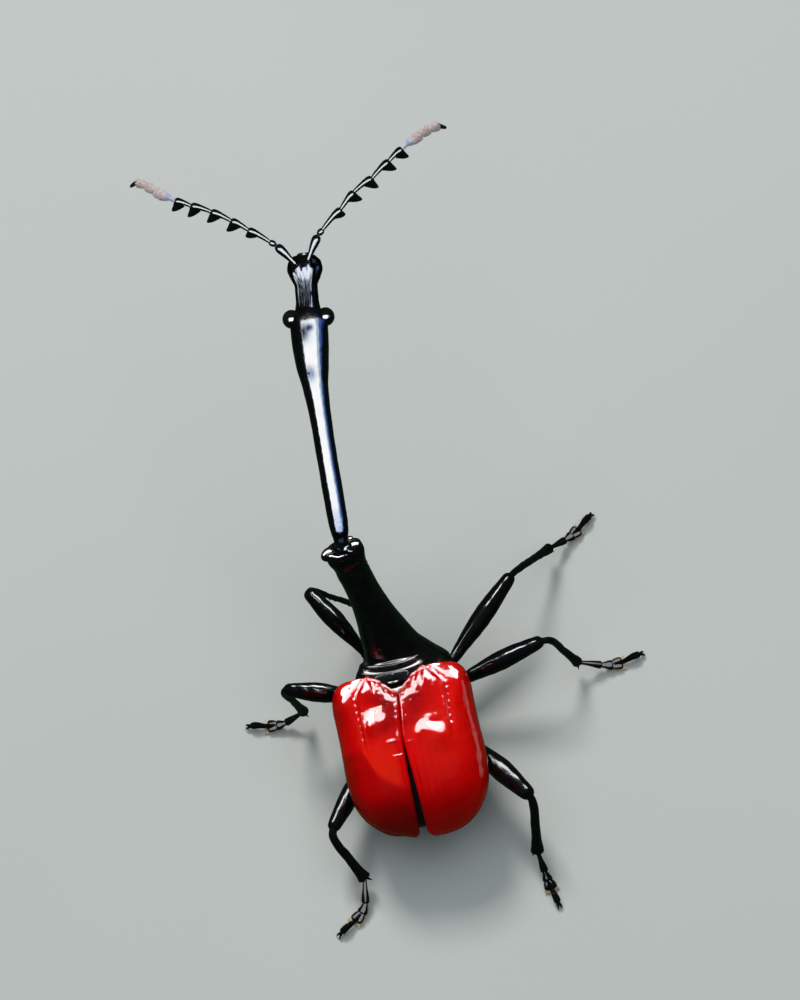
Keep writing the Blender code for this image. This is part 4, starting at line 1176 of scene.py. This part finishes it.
def leg(name, black, pad_skin, pad_hair):
    root, hip, knee, ankle, instep, toe = [np.array(mark, float) for mark in LEGS[name]]
    coxa = Shape()
    line, length = path([root, hip])
    rod(coxa, line, length, COXA_RADIUS, start=0.1, end=0.12, start_round=0.3, end_round=0.3, sides=48,
        step=0.04)
    piece(f"coxa_{name}_cone", coxa, black, [f"coxa_{name}"])
    femur = Shape()
    way = unit(knee - hip)
    line, length = path([hip - way * 0.1, hip + way * 0.28])
    rod(femur, line, length, [(0, 0.2), (0.6, 0.22), (1.0, 0.17)], start=0.08, end_round=0.12)
    line, length = bowed(hip, knee, FEMUR_BOW)

    def skin(place, angle, points):
        return 0.006 * ripple(points.reshape(-1, 3), 0.6, 41).reshape(points.shape[:2])

    thick = FEMUR_THICKNESS.get(name, 1.0)
    rod(femur, line, length, [(place, size * thick) for place, size in FEMUR_RADIUS], start=0.05, end=0.1,
        start_round=0.1, end_round=0.22, sides=56,
        step=0.04, relief=skin)
    piece(f"femur_{name}_club", femur, black, [f"femur_{name}"])
    tibia = Shape()
    shin = unit(ankle - knee)
    bent = knee + way * KNEE_REACH[name] + shin * 0.18
    line, length = path([knee - way * 0.08, bent, (bent + ankle) / 2 + way * 0.04, ankle])
    thick = SHIN_THICKNESS.get(name, 1.0)
    profile = [(0, 0.17), (0.06, 0.135), (0.2, 0.145), (0.7, 0.16), (0.88, 0.19), (1.0, 0.23)]
    rod(tibia, line, length, [(place, size * thick) for place, size in profile],
        start=0.02, end=0.03, start_round=0.12, end_round=0.06, sides=40, step=0.03, relief=skin)
    bend = unit(np.cross(shin, np.cross(way, shin)))
    for turn in (-0.5, 0.5):
        out = unit(turned(-bend, turn * 1.9, shin) + shin * 0.9)
        thorn(tibia, ankle - shin * 0.04 + out * 0.08, ankle + out * 0.34, 0.055)
    rng = np.random.default_rng(7)
    for place in np.linspace(0.35, 0.88, 7):
        out = turned(-bend, rng.uniform(-0.4, 0.4), shin)
        spot = line(place * length)
        thorn(tibia, spot + out * 0.12, spot + out * 0.2 + shin * 0.05, 0.028, sides=8, rings=6)
    piece(f"tibia_{name}_shin", tibia, black, [f"tibia_{name}"])
    foot(name, ankle, instep, toe, black, pad_skin, pad_hair)


# Camera: the photograph's view, as a place round the weevil and a pixel that it aims through
ELEVATION = math.radians(68)
ROLL = math.radians(9)
DISTANCE = 320.0
PIXELS_PER_MM = 25.0
IMAGE = (800, 1000)
AIM_PIXEL = (411, 750)
AIM_POINT = np.array((0.0, 0.0, 5.1))
SENSOR = 36.0


def make_camera():
    back = np.array((0, -math.cos(ELEVATION), math.sin(ELEVATION)))
    level = np.array((1.0, 0.0, 0.0))
    above = np.cross(back, level)
    right = level * math.cos(ROLL) - above * math.sin(ROLL)
    up = level * math.sin(ROLL) + above * math.cos(ROLL)
    shift_right = (AIM_PIXEL[0] - IMAGE[0] / 2) / PIXELS_PER_MM
    shift_up = (IMAGE[1] / 2 - AIM_PIXEL[1]) / PIXELS_PER_MM
    eye = AIM_POINT + back * DISTANCE - right * shift_right - up * shift_up
    data = bpy.data.cameras.new("camera")
    data.sensor_width = SENSOR
    data.lens = SENSOR * DISTANCE / (IMAGE[1] / PIXELS_PER_MM)
    data.clip_start = 0.01
    camera = bpy.data.objects.new("camera", data)
    turn = Matrix.Rotation(math.pi, 3, "Z")
    axes = Matrix([right, up, back]).transposed()
    camera.matrix_world = Matrix.Translation(to_model(eye[None])[0]) @ (turn @ axes).to_4x4()
    bpy.context.scene.collection.objects.link(camera)
    bpy.context.scene.camera = camera


def panel(name, aim, way, distance, size, radiance, colour=(1, 1, 1), gloss=True, diffuse=True, only=None):
    """A rectangular lamp that faces a place from a direction; only names the pieces that it lights."""
    data = bpy.data.lights.new(name, "AREA")
    data.shape = "RECTANGLE"
    data.size, data.size_y = (value * MM for value in size)
    data.energy = radiance * math.pi * data.size * data.size_y
    data.color = colour
    lamp = bpy.data.objects.new(name, data)
    place = np.array(aim, float) + unit(way) * distance
    place, target = (Vector(to_model(point[None])[0]) for point in (place, np.array(aim, float)))
    lamp.location = place
    lamp.rotation_mode = "QUATERNION"
    lamp.rotation_quaternion = (place - target).to_track_quat("Z", "Y")
    lamp.visible_camera = False
    lamp.visible_diffuse = diffuse
    lamp.visible_glossy = gloss
    bpy.context.scene.collection.objects.link(lamp)
    if only:
        lit = bpy.data.collections.new(name + "_receivers")
        for made in bpy.context.scene.objects:
            if made.name.startswith(only):
                lit.objects.link(made)
        lamp.light_linking.receiver_collection = lit


def from_angles(elevation, azimuth):
    """A direction: elevation above the floor, azimuth from straight ahead towards the right."""
    up, turn = math.radians(elevation), math.radians(azimuth)
    return np.array((math.sin(turn) * math.cos(up), math.cos(turn) * math.cos(up), math.sin(up)))


def lights():
    """The sun from the front, a soft overcast above, and sky that only the polished parts mirror."""
    panel("key", (0, 6, 4), from_angles(48, -13), 420, (110, 110), 24, (1.0, 0.98, 0.95), gloss=False)
    panel("fill", (0, 4, 4), (0, 0, 1), 450, (620, 620), 0.95, (0.93, 0.98, 1.0), gloss=False)
    shell = ("wing_case", "scutellum", "thorax", "prothorax")
    panel("sky_ahead", (0, 2, 5), from_angles(42, -4), 300, (700, 175), 36, diffuse=False, only=shell)
    panel("sky_shoulder_left", (-2, 3, 5), from_angles(15, -27), 300, (170, 190), 60, diffuse=False,
          only=("wing_case_left", ))
    panel("sky_shoulder_right", (2, 3, 5), from_angles(18, 31), 300, (200, 180), 60, diffuse=False,
          only=("wing_case_right", ))
    panel("sky_plate", (0, 3, 5), from_angles(17, -4), 300, (300, 90), 9, (0.8, 0.7, 1.0), diffuse=False,
          only=("scutellum", ))
    lamps = [
        ("sky_side", from_angles(-6, 85), (160, 90), 1.6, ("wing_case_right", )),
        ("sky_hind", from_angles(38, -10), (220, 90), 18, ("femur_hind", "tibia_hind")),
        ("sky_knee_front", from_angles(66, -34), (55, 70), 28, ("femur_front_right", "tibia_front_right")),
        ("sky_knee_mid", from_angles(59, -48), (70, 90), 24, ("femur_mid_right", "tibia_mid_right")),
        ("sky_knee_left", from_angles(61, 74), (240, 240), 20, ("femur_front_left", )),
        ("sky_mid_left", from_angles(17, 67), (330, 150), 24, ("femur_mid_left", )),
        ("sky_feet", (0.1, 0.1, 1), (430, 540), 5, ("tarsus_front", "tarsus_mid", "tarsus_hind_left")),
        ("sky_foot", (-0.25, 0.1, 1), (110, 150), 5, ("tarsus_hind_right", )),
    ]
    for name, way, size, radiance, parts in lamps:
        panel(name, (0, 4, 3), way, 300, size, radiance, (0.93, 0.97, 1.0), diffuse=False, only=parts)
    middle = (-1.4, 13.0, 11.0)
    above = unit((0, -0.4, 0.917))
    strips = [(-100, 68, 24, (1, 1, 1)), (68, 122, 14, (0.62, 0.82, 1)), (122, 215, 6, (0.16, 0.36, 1)),
              (215, 420, 3, (0.03, 0.07, 0.6))]
    for low, high, radiance, colour in strips:
        aside = np.array(((low + high) / 2, 0, 0))
        panel(f"sky_above_{low}", middle + aside, above, 150, (high - low, 100), radiance, colour,
            diffuse=False,
              only=("head", "eye", "mandible"))
    panel("sky_feelers", (-1.4, 20.0, 14.0), above, 150, (330, 120), 21, (0.85, 0.94, 1.0), diffuse=False,
          only=("scape", "funicle", "club_left_tip", "club_right_tip"))


def stage():
    """A plain pale floor under a dim sky."""
    data = bpy.data.meshes.new("floor")
    half = 0.6
    data.from_pydata([(-half, -half, 0), (half, -half, 0), (half, half, 0), (-half, half, 0)], [],
        [(0, 1, 2, 3)])
    floor = bpy.data.objects.new("floor", data)
    material, tree, shader = new_material("floor_paint", (0.66, 0.69, 0.66), 0.9, Specular_IOR_Level=0.1)
    noise, _ = link_noise(tree, 0.02, 3.0)
    colour = link_ramp(tree, noise.outputs["Fac"], [(0.3, (0.64, 0.675, 0.64)), (0.7, (0.69, 0.715, 0.69))])
    tree.links.new(colour, shader.inputs["Base Color"])
    data.materials.append(material)
    bpy.context.scene.collection.objects.link(floor)
    floor.visible_glossy = False
    world = bpy.data.worlds.new("world")
    world.use_nodes = True
    tree = world.node_tree
    place = tree.nodes.new("ShaderNodeTexCoord")
    split = tree.nodes.new("ShaderNodeSeparateXYZ")
    tree.links.new(place.outputs["Generated"], split.inputs["Vector"])
    height = tree.nodes.new("ShaderNodeMapRange")
    height.inputs["From Min"].default_value = -1.0
    tree.links.new(split.outputs["Z"], height.inputs["Value"])
    colour = link_ramp(tree, height.outputs["Result"], [
        (0.0, (0.02, 0.05, 0.025)), (0.47, (0.02, 0.045, 0.022)), (0.53, (0.015, 0.025, 0.018)),
        (0.75, (0.03, 0.04, 0.05)), (1.0, (0.05, 0.065, 0.09))])
    background = tree.nodes["Background"]
    tree.links.new(colour, background.inputs["Color"])
    bpy.context.scene.world = world


def main():
    make_camera()
    stage()
    black = black_cuticle()
    red = red_cuticle()
    matt = plain_kind("tooth_black", (0.003, 0.004, 0.004), (0.006, 0.007, 0.007), 0.75, 6.0, 0.004)
    pale = plain_kind("joint_lilac", (0.5, 0.5, 0.7), (0.75, 0.78, 0.92), 0.35, 4.0, 0.004)
    club_skin = plain_kind("club_skin", (0.75, 0.6, 0.57), (0.9, 0.76, 0.73), 0.8, 6.0, 0.01)
    club_hair = plain_kind("club_hair", (0.9, 0.76, 0.73), (1.0, 0.9, 0.88), 0.6, 5.0, 0.004,
        Sheen_Weight=0.4)
    pad_skin = plain_kind("pad_skin", (0.62, 0.36, 0.2), (0.8, 0.62, 0.42), 0.75, 6.0, 0.01)
    pad_hair = plain_kind("pad_hair", (0.78, 0.6, 0.42), (0.9, 0.8, 0.66), 0.6, 6.0, 0.004,
        Sheen_Weight=0.3)
    for sign in (1, -1):
        wing_case(sign, red)
    trunk(black)
    scutellum(black)
    prothorax(black)
    head(head_cuticle())
    eyes(eye_material())
    mandibles(black)
    for name in FEELERS:
        feeler(name, black, matt, pale, club_skin, club_hair)
    for name in LEGS:
        leg(name, black, pad_skin, pad_hair)
    lights()
    bpy.context.scene.view_settings.view_transform = "Standard"


main()
